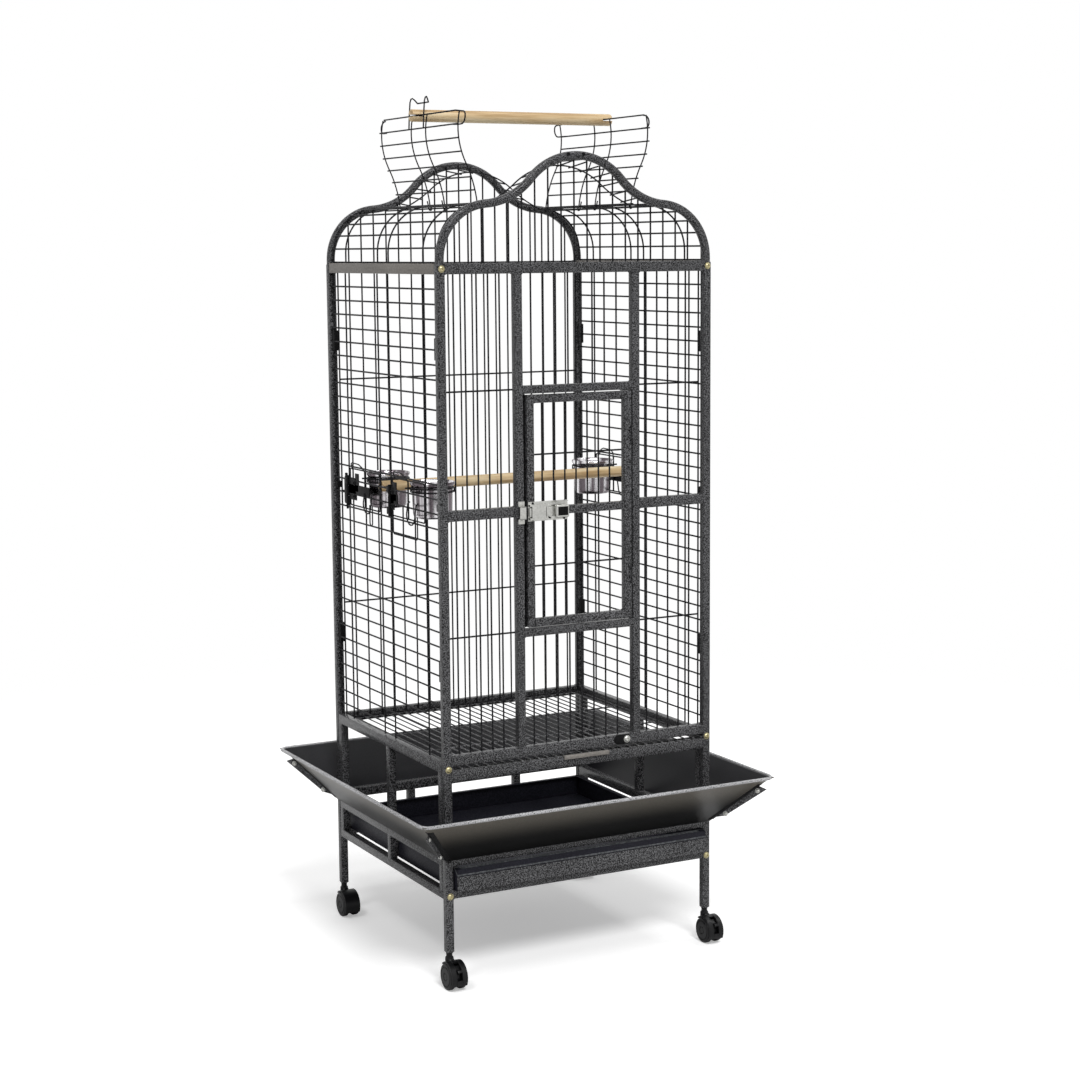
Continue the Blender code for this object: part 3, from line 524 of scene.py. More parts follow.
# Side panels: rows of wire 28 mm apart on a few uprights, with a way through for each feeder door.
# Same wire and coat as the front; the rows lie outside the uprights.
top_row, row_gap, row_count, feeder_rows = 1.347, 0.02832, 32, (14, 15)
row_z = [top_row - row_gap * k for k in range(row_count)]
far_y, near_y = 0.188, 0.026
side_edge, row_end = inner_d - 0.004, inner_d - 0.001
upright_x = 0.2920
bays_open = {"left": [near_y, far_y, -far_y, -near_y], "right": [near_y, far_y]}
for side, word in sides:
    bm = bmesh.new()
    for y in (-side_edge, -far_y, -near_y, near_y, far_y, side_edge):
        rod(bm, (side * upright_x, y, 0.4435), (side * upright_x, y, head_low - 0.0004))
    row_x = side * (upright_x + layer)
    for k, z in enumerate(row_z):
        stops = sorted([-row_end, row_end] + (bays_open[word] if k in feeder_rows else []))
        for a, b in zip(stops[::2], stops[1::2]):
            rod(bm, (row_x, a, z), (row_x, b, z))
    keep_piece(bm, word + "_panel_wires", "cage", wire_coat, (word + "_side_wires",))
    # Clips: pressed tabs at both ends of the panel that hold it to the posts.
    bm = bmesh.new()
    x0, x1 = side * (upright_x - 0.0060), side * (upright_x + 0.0042)
    for z, tall in ((1.235, 0.042), (0.935, 0.014), (0.620, 0.042)):
        for end in (-1, 1):
            y0, y1 = end * panel_d, end * (side_edge - 0.0080)
            bar(bm, (x0, y0, z - tall / 2), (x1, y1, z + tall / 2), 0.0012)
    keep_piece(bm, word + "_panel_clips", "cage", black_coat)

# Roof shoulders: wires bent up from the top rails to the hinge rods the wings turn on, with long wires
# across them. Same wire, formed on a jig and spot welded to both dome tubes.
hinge_x, mesh_offset, cross_count = 0.170, tube + 0.006, 8
wire_dome = (1.415, 0.100, 0.210, 9, 41)
crown = dome_path(*wire_dome, mesh_offset)
hinge_s = where_x(crown, hinge_x)
hx, hz, slope = walk(crown, hinge_s)
hx, hz = hx - wire_r * math.sin(slope), hz + wire_r * math.cos(slope)
shoulder_start = (half_w - 0.010, head_top + 0.0018, math.pi / 2)
shoulder_r = wire_dome[1] - 0.010
flat = half_w - wire_dome[1] - hinge_x - 0.0033
shoulder_path = [
    shoulder_start, (wire_dome[0] - shoulder_start[1], 0), (shoulder_r * math.pi / 2, math.pi / 2), (flat, 0),
]
shoulder_total = path_length(shoulder_path)
shoulder_pitch = (shoulder_total + wire_r) / (cross_count - 1)
wire_reach, hinge_reach = panel_d - 0.0048, panel_d - 0.0033
for side, word in sides:
    bm = bmesh.new()
    for y in (-wire_reach, -far_y, -near_y, near_y, far_y, wire_reach):
        total = shoulder_total + (wire_r if abs(y) < wire_reach else -shoulder_pitch)
        arc = [walk(shoulder_path, total * i / 20) for i in range(21)]
        sweep(bm, [(side * x, y, z) for x, z, _ in arc], coated_r)
    for i in range(cross_count - 1):
        x, z, heading = walk(shoulder_path, shoulder_pitch * i)
        x, z = side * (x + layer * math.sin(heading) * 0.5), z - layer * math.cos(heading) * 0.5
        rod(bm, (x, -wire_reach, z), (x, wire_reach, z))
    keep_piece(bm, word + "_shoulder_panel", "cage", wire_coat, (word + "_shoulder_wires",))
    bm = bmesh.new()
    rod(bm, (side * hx, -hinge_reach, hz), (side * hx, hinge_reach, hz), wire_r, 12)
    keep_piece(bm, word + "_hinge_wire", "cage", wire_coat, (word + "_hinge_rod",))

# Crown strips: one wire over the roof's opening at each end, tied to the dome tube by short wires that
# stand a little proud of it. Welded in place, they stop the wings as they close.
strip_y = 0.190
crown_total = path_length(crown)
span, crown_gaps = crown_total - 2 * hinge_s, 2 * (cross_count - 1)
for side, word in ((-1, "front"), (1, "rear")):
    bm = bmesh.new()
    arc = [walk(crown, hinge_s + 0.0055 + (span - 0.011) * i / 60) for i in range(61)]
    line = [(x - wire_r * math.sin(a), side * strip_y, z + wire_r * math.cos(a)) for x, z, a in arc]
    sweep(bm, line, wire_r)
    for i in range(1, crown_gaps):
        x, z, a = walk(crown, hinge_s + span * i / crown_gaps)
        ends = [
            (x - h * math.sin(a), side * y, z + h * math.cos(a))
            for y, h in ((strip_y - 0.004, layer + 0.001), (wire_reach, -0.005))
        ]
        rod(bm, *ends, wire_r)
    keep_piece(bm, word + "_crown_wires", "cage", wire_coat, (word + "_crown_strip",))

# Wings: the two halves of the roof, each four long wires with eyes round the hinge rod and eight cross
# wires. The free edge's wire runs past the sides and turns back in a hoop. The left one has the closing hook.
wing_edge, wing_middle, wing_open = 0.180, 0.034, math.radians(75.7)
wing_end = crown_total / 2 - 0.0035
opened = Matrix.Rotation(-wing_open, 2)
eye_r, cross_h, hoop_h, hoop_out = 0.0031, -0.0012, 0.0072, 0.0165


def on_wing(side, u, v, h):
    """A place on an open wing: along it from the hinge, across it, and out from its face."""
    x, z, heading = walk(crown, min(u, wing_end))
    past = max(0, u - wing_end)
    x += past * math.cos(heading) - h * math.sin(heading)
    z += past * math.sin(heading) + h * math.cos(heading)
    x, z = opened @ Vector((x - hx, z - hz))
    return Vector((side * (hx + x), v, hz + z))


first = hinge_s + 0.0065
stops = [first + (wing_end - first) * i / (cross_count - 1) for i in range(cross_count)]
bend = (stops[-1] - stops[-2]) / 2
for side, word in sides:
    bm = bmesh.new()
    for y in (-wing_edge, -wing_middle, wing_middle, wing_edge):
        # The wire comes down the wing, passes under the hinge rod and turns up again beside it.
        line = [on_wing(side, wing_end - (wing_end - first) * i / 24, y, wire_r) for i in range(25)]
        centre, axis = Vector((side * hx, y, hz)), Vector((0, side, 0))
        arm = (line[-1] - centre).normalized() * eye_r
        eye = [centre + Matrix.Rotation(-math.radians(a), 3, axis) @ arm for a in range(0, 241, 30)]
        tail = (side * 0.0040, 0, 0.0170) if abs(y) == wing_middle else (0, 0, 0.003)
        sweep(bm, line + eye + [eye[-1] + Vector(tail)], wire_r * 0.93)
    for s in stops[:-1]:
        reach = wing_edge + 0.003
        rod(bm, on_wing(side, s, -reach, cross_h), on_wing(side, s, reach, cross_h), wire_r)
    for sign in (-1, 1):
        # The free edge's wire from the middle out, round its hoop and back to the next cross wire. The
        # hoop stands proud of the others, so that it passes over the crown strip as the wing closes.
        loop = [(stops[-1], 0, cross_h), (stops[-1], sign * (wing_edge - 0.012), cross_h)]
        for i in range(13):
            a = math.pi * i / 12
            out = wing_edge + 0.0005 + hoop_out * abs(math.sin(a)) ** 0.8
            loop.append((stops[-1] - bend + bend * math.cos(a), sign * out, hoop_h))
        loop.append((stops[-2], sign * (wing_edge - 0.012), hoop_h))
        loop.append((stops[-2], sign * (wing_edge - 0.020), 0.0010))
        sweep(bm, [on_wing(side, *spot) for spot in loop], wire_r)
    if side < 0:
        # Closing hook: two wires that climb from the free edge and lean over, joined at their tips.
        hook_top, tips = 1.7170, []
        for sign in (-1, 1):
            y = sign * wing_middle
            lip = on_wing(side, wing_end, y, -0.0060)
            climb = [on_wing(side, stops[-2], y, -0.0035), lip, (lip.x + 0.001, y, lip.z + 0.012)]
            for out, lean, drop in (
                (0.002, 0, 0.008), (0.004, 0, 0.0015), (0.007, 0.001, 0), (0.010, 0.004, 0.003),
                (0.0145, 0.0085, 0.0100),
            ):
                climb.append((lip.x + out, y - sign * lean, hook_top - drop))
            tips.append(climb[-1])
            sweep(bm, climb, wire_r)
        rod(bm, *tips, wire_r)
    keep_piece(bm, word + "_wing_wires", word + "_wing", wire_coat, (word + "_wing",))


# Perches: turned and sanded pine dowels, uncoated, with a slot sawn in each end that takes a wire.
# One lies across the open wings, the other crosses the cage at the cups' height.
def sanded_pine(name):
    """Pine: pale straw wood with long darker grain lines along the dowel."""
    wood, tree, where = new_material(name)
    along = add_node(tree, "Mapping", {"Vector": where, "Scale": (7.0, 150.0, 150.0)})
    fibre = add_node(tree, "TexNoise", {"Vector": along.outputs[0], "Scale": 1.0, "Detail": 5.0})
    broad = add_node(tree, "Mapping", {"Vector": where, "Scale": (4.0, 40.0, 40.0)})
    rings = add_node(tree, "TexNoise", {"Vector": broad.outputs[0], "Scale": 1.0, "Detail": 2.0})
    both = add_node(tree, "Math", {0: fibre.outputs["Fac"], 1: rings.outputs["Fac"]}, operation="ADD")
    grain = add_node(tree, "MapRange", {"Value": both.outputs[0], "From Min": 0.8, "From Max": 1.2})
    tone = add_node(tree, "ValToRGB", {0: grain.outputs[0]})
    tone.color_ramp.elements[0].color = linear("B39468")
    tone.color_ramp.elements[1].color = linear("E6D3AE")
    tone.color_ramp.elements.new(0.45).color = linear("D2B68A")
    skin = add_node(tree, "Bump", {"Height": fibre.outputs["Fac"], "Strength": 0.3, "Distance": 0.0004})
    shader = add_node(
        tree, "BsdfPrincipled", {"Base Color": tone.outputs[0], "Roughness": 0.55, "Normal": skin.outputs[0]}
    )
    add_node(tree, "OutputMaterial", {"Surface": shader.outputs[0]})
    return wood


pine = sanded_pine("sanded_pine")


def dowel(bm, x0, x1, y, z, r, ease=0.0015):
    """A round stick along X with rounded ends."""
    end = [(0, 0), (r - ease, 0), (r - ease * 0.3, ease * 0.3), (r, ease)]
    far_end = [(a, x1 - x0 - h) for a, h in reversed(end)]
    turned(bm, (x0, y, z), (1, 0, 0), end + [(r, (x1 - x0) * 0.5)] + far_end, 40)


def saw_slots(piece, y, z, half_high, cuts):
    """Saws straight slots, each from one x to another, through a finished dowel."""
    slots = bmesh.new()
    for x0, x1 in cuts:
        bar(slots, (x0, y - 0.02, z - half_high), (x1, y + 0.02, z + half_high), 0.0006)
    slot_mesh = bpy.data.meshes.new("slots")
    slots.to_mesh(slot_mesh)
    slots.free()
    cutter = bpy.data.objects.new("slots", slot_mesh)
    scene.collection.objects.link(cutter)
    cut = piece.modifiers.new("slots", "BOOLEAN")
    cut.operation = "DIFFERENCE"
    cut.solver = "EXACT"
    cut.object = cutter
    bpy.context.view_layer.update()
    sawn = bpy.data.meshes.new_from_object(piece.evaluated_get(bpy.context.evaluated_depsgraph_get()))
    piece.modifiers.remove(cut)
    piece.data = sawn
    bpy.data.objects.remove(cutter)


low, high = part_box("top_perch")
perch_z = (low.z + high.z) / 2
bm = bmesh.new()
dowel(bm, low.x, high.x, 0, perch_z, 0.012)
perch = keep_piece(bm, "roof_perch", "top_perch", pine, ("top_perch",))
saw_slots(perch, 0, perch_z, 0.0022, ((-0.235, -0.20233), (0.20233, 0.235)))
low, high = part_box("inner_perch")
perch_y, perch_z = (low.y + high.y) / 2, (low.z + high.z) / 2
bm = bmesh.new()
dowel(bm, low.x, high.x, perch_y, perch_z, 0.011)
perch = keep_piece(bm, "cage_perch", "cage", pine, ("inner_perch",))
saw_slots(perch, perch_y, perch_z, 0.0018, ((low.x - 0.002, low.x + 0.011), (high.x - 0.011, high.x + 0.002)))

# Door: a frame of the same square tube with a rail at the latch's height and seven upright wires behind
# it, on two barrel hinges welded to the right stile. Coated with the cage.
low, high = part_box("door_frame")
door_left, door_right, door_low, door_top = low.x, high.x, low.z, high.z
inner_left, inner_right = door_left + tube, door_right - tube
latch_z = mid_row - 0.002
bm = bmesh.new()
for x in (door_left, inner_right):
    bar(bm, (x, low.y, door_low), (x + tube, high.y, door_top), 0.0018)
for z in (door_low, latch_z - tube / 2, door_top - tube):
    bar(bm, (inner_left - 0.001, low.y + 0.0001, z), (inner_right + 0.001, high.y - 0.0001, z + tube), 0.0016)
    for x in (inner_left + 0.0004, inner_right - 0.0004):
        middle = (x, (low.y + high.y) / 2, z + tube / 2)
        weld(bm, middle, (0, (high.y - low.y) / 2, 0), (0, 0, tube / 2), 0.0009)
keep_piece(bm, "door_tubes", "door", silver_vein, ("door_frame",))
low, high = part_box("door_wires")
door_wire_y = low.y + wire_r
behind = door_wire_y + layer * 0.9
bm = bmesh.new()
for x in even(inner_left, inner_right, 7):
    rod(bm, (x, door_wire_y, low.z), (x, door_wire_y, high.z))
door_sill, door_lintel = door_low + tube / 2, door_top - tube / 2
for z in (door_sill, (door_sill + latch_z) / 2, latch_z, (latch_z + door_lintel) / 2, door_lintel):
    rod(bm, (low.x, behind, z), (high.x, behind, z))
keep_piece(bm, "door_panel_wires", "door", wire_coat, ("door_wires",))
# Stop: a flat strip welded behind the left stile, which the closed door's free side rests near. Its black
# is painted shade, which darkens the gap beside the door.
bm = bmesh.new()
strip_start, strip_right = (opening_left - 0.002, -inner_d + 0.0002, opening_low + 0.001), -0.1112
bar(bm, strip_start, (strip_right, -inner_d + 0.0014, opening_top - 0.001), 0.0004)
keep_piece(bm, "door_stop_and_shade_strip", "cage", black_coat)


def barrel(bm, x, y, z0, z1, r, sides, ease=0.0005):
    """One knuckle of an upright hinge, with eased ends."""
    high = z1 - z0
    profile = [(0, 0), (r - ease, 0), (r, ease), (r, high - ease), (r - ease, high), (0, high)]
    turned(bm, (x, y, z0), (0, 0, 1), profile, sides)


def pin(bm, at, axis, r, length, sides=12):
    """A plain round pin."""
    turned(bm, at, axis, [(0, 0), (r, 0), (r, length), (0, length)], sides)


for word in ("upper", "lower"):
    low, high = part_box("door_hinge_" + word)
    x, y, r, middle = (low.x + high.x) / 2, (low.y + high.y) / 2, (high.x - low.x) / 2, (low.z + high.z) / 2
    bm = bmesh.new()
    barrel(bm, x, y, low.z, middle - 0.0004, r, 20)
    barrel(bm, x, y, middle + 0.0004, high.z, r, 20)
    pin(bm, (x, y, low.z - 0.001), (0, 0, 1), 0.0016, high.z - low.z + 0.002)
    keep_piece(bm, "door_barrel_" + word, "cage", silver_vein, ("door_hinge_" + word,))


# Door latch: a slide bolt pressed from zinc-plated sheet. Its back plate is screwed to the door's frame
# and two folded guides carry the front plate, which leaves a gap for the bolt's square thumb piece. A
# keeper bridge is screwed to the left stile.
def small_screw(bm, x, z):
    """A pan-head screw into the front of a plate."""
    head = [(0, 0), (0.0026, 0), (0.0024, 0.0008), (0.0012, 0.0014), (0, 0.0015)]
    turned(bm, (x, face - 0.0016, z), front, head, 14)


low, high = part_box("door_latch_plate")
face, housing_right = -half_d - 0.0003, high.x - 0.047
bm = bmesh.new()
bar(bm, (low.x, face - 0.0016, latch_z - 0.018), (high.x, face, latch_z + 0.020), 0.0007)
for z in (latch_z - 0.0131, latch_z + 0.0131):
    bar(bm, (low.x + 0.0006, face - 0.0090, z - 0.0022), (housing_right, face - 0.0010, z + 0.0022), 0.0009)
for x0, x1 in ((low.x + 0.0050, housing_right - 0.004), (housing_right - 0.0030, housing_right)):
    bar(bm, (x0, low.y, latch_z - 0.0120), (x1, low.y + 0.0014, latch_z + 0.0120), 0.0006)
ear_start = (high.x - 0.030, face - 0.0150, latch_z + 0.0186)
bar(bm, ear_start, (high.x - 0.006, face - 0.0008, latch_z + 0.0200), 0.0005)
keep_piece(bm, "latch_housing", "door", zinc, ("door_latch_plate",))
bm = bmesh.new()
for x, z in (
    (low.x + 0.010, latch_z - 0.0150), (low.x + 0.010, latch_z + 0.0168), (high.x - 0.008, latch_z - 0.0150),
):
    small_screw(bm, x, z)
stud = [(0, 0), (0.0016, 0), (0.0016, 0.0040), (0, 0.0044)]
turned(bm, (housing_right + 0.007, face - 0.0016, latch_z - 0.013), front, stud, 12)
keep_piece(bm, "latch_screws", "door", black_coat)
low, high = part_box("door_latch_bolt")
back, thumb_left, thumb_right = high.y, -0.0610, -0.0320
bm = bmesh.new()
bar(bm, (low.x, back - 0.0040, latch_z - 0.0085), (high.x, back, latch_z + 0.0085), 0.0007)
thumb_start = (thumb_left, back - 0.0130, latch_z - 0.0128)
bar(bm, thumb_start, (thumb_right, back - 0.0036, latch_z + 0.0128), 0.0030, 3)
keep_piece(bm, "latch_bolt_and_thumb_piece", "latch_bolt", zinc, ("door_latch_bolt",))
# The thumb piece's grip: a dark moulded pad with ridges across it.
bm = bmesh.new()
pad_start = (thumb_left + 0.0040, back - 0.0134, latch_z - 0.0086)
bar(bm, pad_start, (thumb_right - 0.0030, back - 0.0120, latch_z + 0.0086), 0.0005)
for i in range(5):
    x = thumb_left + 0.0070 + i * 0.0040
    ridge_start = (x - 0.0009, back - 0.0139, latch_z - 0.0070)
    bar(bm, ridge_start, (x + 0.0009, back - 0.0130, latch_z + 0.0070), 0.0003)
keep_piece(bm, "latch_grip", "latch_bolt", black_coat)
low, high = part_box("door_keeper")
bm = bmesh.new()
for z0, z1 in ((low.z, latch_z - 0.0105), (latch_z + 0.0105, high.z)):
    bar(bm, (low.x, face - 0.0018, z0), (high.x, face, z1), 0.0006)
    small_screw(bm, (low.x + high.x) / 2, (z0 + z1) / 2)
for z in (latch_z - 0.0116, latch_z + 0.0116):
    bar(bm, (low.x, low.y, z - 0.0011), (high.x, face, z + 0.0011), 0.0006)
bar(bm, (low.x, low.y, latch_z - 0.0126), (high.x, low.y + 0.0018, latch_z + 0.0126), 0.0006)
keep_piece(bm, "latch_keeper_bridge", "cage", zinc, ("door_keeper",))

# Feeder doors: small wire doors that swing out on the panel's upright, each with a wire ring that holds a
# cup inside the cage, a flat strap with a plate at its hinge side, and bent wire latches. The left front
# one has a short strap and a wide hanging wire. Straps and hinge brackets are black.
feeders = (("left_rear", -1, far_y), ("left_front", -1, -near_y), ("right_rear", 1, far_y))
bay = far_y - near_y
cup_x, cup_r, cup_top, cup_low = 0.240, 0.040, 0.970, 0.898
ring_z = cup_top - 0.0105
gate_low, gate_top, gate_corner = row_z[16] + 0.0046, row_z[13] - 0.0046, 0.004
strap_z = row_z[15]
staple_top, staple_bend, bow_z = 0.934, 0.930, 0.9095
for word, side, hinge_y in feeders:
    short = word == "left_front"
    gate_x = side * upright_x
    y1, y0, mid_y = hinge_y - 0.0055, hinge_y - bay + 0.0055, hinge_y - bay / 2
    cx = side * cup_x
    bm = bmesh.new()
    outline = []
    for y, z, a0 in (
        (y1 - gate_corner, gate_top - gate_corner, 0), (y0 + gate_corner, gate_top - gate_corner, 90),
        (y0 + gate_corner, gate_low + gate_corner, 180), (y1 - gate_corner, gate_low + gate_corner, 270),
    ):
        for step in (0, 30, 60, 90):
            a = math.radians(a0 + step)
            outline.append((gate_x, y + gate_corner * math.cos(a), z + gate_corner * math.sin(a)))
    sweep(bm, outline + outline[:1], wire_r)
    for k in feeder_rows:
        rod(bm, (gate_x + side * layer, y0 - 0.002, row_z[k]), (gate_x + side * layer, y1 + 0.002, row_z[k]))
    rod(bm, (gate_x, mid_y, gate_low), (gate_x, mid_y, gate_top))
    # Ring: two wire hoops held 7 mm apart by short uprights, with two arms welded to the door's wires.
    for z, r in ((ring_z - 0.0016, wire_r), (ring_z - 0.0090, wire_r * 0.9)):
        hoop = []
        for i in range(41):
            a = 2 * math.pi * i / 40
            hoop.append((cx + (cup_r + 0.0026) * math.cos(a), mid_y + (cup_r + 0.0026) * math.sin(a), z))
        sweep(bm, hoop, r)
    for i in range(6):
        a = math.radians(30 + 60 * i)
        x, y = cx + (cup_r + 0.0030) * math.cos(a), mid_y + (cup_r + 0.0030) * math.sin(a)
        rod(bm, (x, y, ring_z - 0.0105), (x, y, ring_z - 0.0006), wire_r * 0.9)
    for y in (mid_y - 0.014, mid_y + 0.014):
        rod(bm, (cx + side * (cup_r - 0.003), y, ring_z - 0.0016), (gate_x, y, ring_z - 0.0016))
    # Latches: a wire bent like a staple, a wire raised over the top, and one that hangs below.
    staple_x, latch_y, bow = gate_x + side * 0.0045, hinge_y - 0.1075, 0.0195
    handle = [(gate_x, latch_y + bow, staple_top), (staple_x, latch_y + bow, staple_bend)]
    for i in range(9):
        a = math.pi * i / 8
        handle.append((staple_x + side * 0.003, latch_y + bow * math.cos(a), bow_z - bow * math.sin(a)))
    handle += [(staple_x, latch_y - bow, staple_bend), (gate_x, latch_y - bow, staple_top)]
    sweep(bm, handle, wire_r)
    over = (
        (0, 0.018, -0.002), (0.004, 0.020, 0.010), (0.005, 0.028, 0.013), (0.005, 0.062, 0.012),
        (0.003, 0.074, 0.006), (0, 0.080, -0.002),
    )
    sweep(bm, [(gate_x + side * out, hinge_y - back, gate_top + up) for out, back, up in over], wire_r * 0.9)
    out_x = gate_x + side * 0.0036
    start, end, drop_z, turn = (0.015, 0.130, 0.863, 0.004) if short else (0.112, 0.125, 0.867, 0.003)
    hang = (
        (start, 0.908), (start, drop_z + 0.004), (start + turn, drop_z), (end - turn, drop_z),
        (end, drop_z + 0.004), (end, 0.908),
    )
    sweep(bm, [(out_x, hinge_y - back, z) for back, z in hang], wire_r * 0.9)
    keep_piece(
        bm, word + "_gate_wires", word + "_feeder_door", wire_coat, (word + "_feeder_door",)
    )
    bm = bmesh.new()
    x0, x1 = side * (upright_x + 0.0018), side * (upright_x + 0.0040)
    strap_y, plate_y = (hinge_y - 0.036, hinge_y - 0.020) if short else (hinge_y - 0.111, hinge_y - 0.044)
    bar(bm, (x0, strap_y, strap_z + 0.0005), (x1, y1, strap_z + 0.0205), 0.0005)
    bar(bm, (x0, plate_y, strap_z - 0.012), (x1, y1, strap_z + 0.034), 0.0008)
    bar(bm, (x0, plate_y - 0.012, strap_z + 0.006), (x1, plate_y + 0.006, strap_z + 0.044), 0.0008)
    for z in (strap_z - 0.004, strap_z + 0.024):
        bolt_head(bm, (side * (upright_x + 0.0038), plate_y + 0.008, z), (side, 0, 0), 0.0048, 0.0028)
    keep_piece(bm, word + "_gate_strap", word + "_feeder_door", black_coat)
    low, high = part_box(word + "_feeder_hinge")
    x, y, r = (low.x + high.x) / 2, (low.y + high.y) / 2, (high.x - low.x) / 2
    bm = bmesh.new()
    for z0, z1 in ((low.z, low.z + 0.020), (low.z + 0.0206, high.z - 0.0206), (high.z - 0.020, high.z)):
        barrel(bm, x, y, z0, z1, r, 18)
    for z in (low.z + 0.010, high.z - 0.010):
        bar(bm, (x - 0.0012, y + 0.001, z - 0.007), (x + 0.0012, y + 0.013, z + 0.007), 0.0005)
    x0, x1 = side * (upright_x + 0.0010), x + side * 0.0008
    if not short:
        bar(bm, (x0, y + 0.0042, low.z + 0.004), (x1, y + 0.0175, high.z - 0.006), 0.0015)
        bar(bm, (x0, y + 0.0042, low.z - 0.008), (x1, y + 0.0072, low.z + 0.005), 0.0009)
        bar(bm, (x0, y + 0.0070, high.z - 0.008), (x1, y + 0.0125, high.z + 0.004), 0.0012)
    keep_piece(bm, word + "_gate_bracket", "cage", black_coat, (word + "_feeder_hinge",))


# Cups: deep-drawn stainless bowls with a rolled rim, polished, that drop into the rings.
# They are 80 mm wide and 72 mm deep, of 1.2 mm sheet.
def polished_steel(name):
    """Polished stainless: mirror-like, with faint rings from the polishing wheel, and light and dark
    stripes up the wall painted into its colour: painted reflections, with near-white painted highlights."""
    steel, tree, where = new_material(name)
    rings = add_node(tree, "Mapping", {"Vector": where, "Scale": (4.0, 4.0, 900.0)})
    rub = add_node(tree, "TexNoise", {"Vector": rings.outputs[0], "Scale": 1.0, "Detail": 3.0})
    # Painted reflections: light and dark stripes up the wall, drawn into the metal's colour.
    reflection_band_stretch = add_node(tree, "Mapping", {"Vector": where, "Scale": (48.0, 48.0, 1.0)})
    reflection_band_noise = add_node(tree, "TexNoise", {"Vector": reflection_band_stretch.outputs[0], "Scale": 1.0, "Detail": 2.0})
    painted_reflection_bands = add_node(
        tree, "MapRange", {"Value": reflection_band_noise.outputs["Fac"], "From Min": 0.44, "From Max": 0.58},
        interpolation_type="SMOOTHSTEP",
    )
    sheen = add_node(tree, "MapRange", {"Value": rub.outputs["Fac"], "To Min": 0.16, "To Max": 0.30})
    skin = add_node(tree, "Bump", {"Height": rub.outputs["Fac"], "Strength": 0.08, "Distance": 0.0002})
    tone = add_node(
        tree, "Mix", {0: painted_reflection_bands.outputs[0], 6: linear("6E666B"), 7: linear("F2F0F3")}, data_type="RGBA"
    )
    shader = add_node(
        tree, "BsdfPrincipled",
        {"Base Color": tone.outputs[2], "Metallic": 1.0, "Roughness": sheen.outputs[0],
         "Normal": skin.outputs[0]},
    )
    add_node(tree, "OutputMaterial", {"Surface": shader.outputs[0]})
    return steel


stainless = polished_steel("polished_stainless")
wall, height = 0.0012, cup_top - cup_low
outer = [
    (0, 0.0006), (0.026, 0.0), (0.0335, 0.0008), (0.0375, 0.0042), (0.0388, 0.010), (0.0394, 0.030),
    (cup_r, height - 0.0101),
]
rim = [
    (0.0408, height - 0.0095), (0.0436, height - 0.0060), (0.0448, height - 0.0030),
    (0.0444, height - 0.0008), (0.0430, height), (0.0412, height - 0.0009),
]
inside = [
    (cup_r - wall, height - 0.0070), (0.0394 - wall, 0.030), (0.0388 - wall, 0.011), (0.0362, 0.0052),
    (0.0330, 0.0022), (0.026, 0.0014), (0, 0.0018),
]
for word, side, hinge_y in feeders:
    bm = bmesh.new()
    turned(bm, (side * cup_x, hinge_y - bay / 2, cup_low), (0, 0, 1), outer + rim + inside, 64)
    keep_piece(bm, word + "_bowl", word + "_cup", stainless, (word + "_cup",), 50)

# Grate: the wire floor, thirty-one wires from front to back on four cross wires. The wires' front ends
# show in the sill's slot. It slides on the ledges and is coated with the cage; its coat is drawn paler
# than the other wire, a painted highlight for the light from above.
low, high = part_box("grate")
wire_z, grate_edge = high.z - wire_r, inner_w - 0.0035
cross_z = wire_z - layer * 0.75
bm = bmesh.new()
for x in [-grate_edge] + even(-grate_edge, grate_edge, 29) + [grate_edge]:
    rod(bm, (x, high.y, wire_z), (x, low.y, wire_z), wire_r)
for y in [low.y + 0.012] + even(low.y, high.y, 2) + [high.y - wire_r]:
    rod(bm, (low.x, y, cross_z), (high.x, y, cross_z))
# The grate's paler, glossier coat: its light grey is a painted highlight from the light above.
grate_coat_painted_highlight = hammered_coat("grate_powder_coat_painted_highlight", "1E1E20", "7E7E80", 0.0024, 0.24, 0.4, 0.6)
keep_piece(bm, "grate_wires", "grate", grate_coat_painted_highlight, ("grate",))
# Pull: a flat steel lip on the grate's front, over the lower sill's edge, to take hold of it by. Its pale
# coat is a painted highlight along the sill's edge.
bm = bmesh.new()
pull_left, pull_right = -0.040, 0.061
pull_start = (pull_left, -half_d - 0.0045, wire_z - 0.0085)
bar(bm, pull_start, (pull_right, low.y + 0.0020, wire_z - 0.0010), 0.0008)
keep_piece(bm, "grate_pull", "grate", pale_rail_coat_painted_light)


def thicken(bm, corners, shift):
    """A flat outline and a copy of it moved by the shift, closed all round. Gives both rows of corners."""
    near = [bm.verts.new(spot) for spot in corners]
    outline = bm.faces.new(near)
    made = bmesh.ops.extrude_face_region(bm, geom=[outline, *outline.edges, *outline.verts])["geom"]
    far = [item for item in made if isinstance(item, bmesh.types.BMVert)]
    bmesh.ops.translate(bm, verts=far, vec=shift)
    return near, far


# Lock: a flat tab with a round end, which turns on its bolt and covers the slot's end.
low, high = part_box("grate_lock")
round_r = 0.0100
end_x, half_z, mid_z = low.x + round_r, (high.z - low.z) / 2, (low.z + high.z) / 2
outline = [(high.x, mid_z + half_z - 0.0005), (end_x, mid_z + half_z)]
for i in range(1, 9):
    a = math.pi * i / 9
    outline.append((end_x - round_r * math.sin(a), mid_z + half_z * math.cos(a)))
outline += [(end_x, mid_z - half_z), (high.x, mid_z - half_z + 0.0005)]
bm = bmesh.new()
_, far = thicken(bm, [(x, high.y, z) for x, z in outline], (0, low.y - high.y, 0))
soften(bm, [edge for edge in bm.edges if all(vert in far for vert in edge.verts)], 0.0006)
keep_piece(bm, "grate_lock_tab", "grate_lock", black_coat, ("grate_lock",))

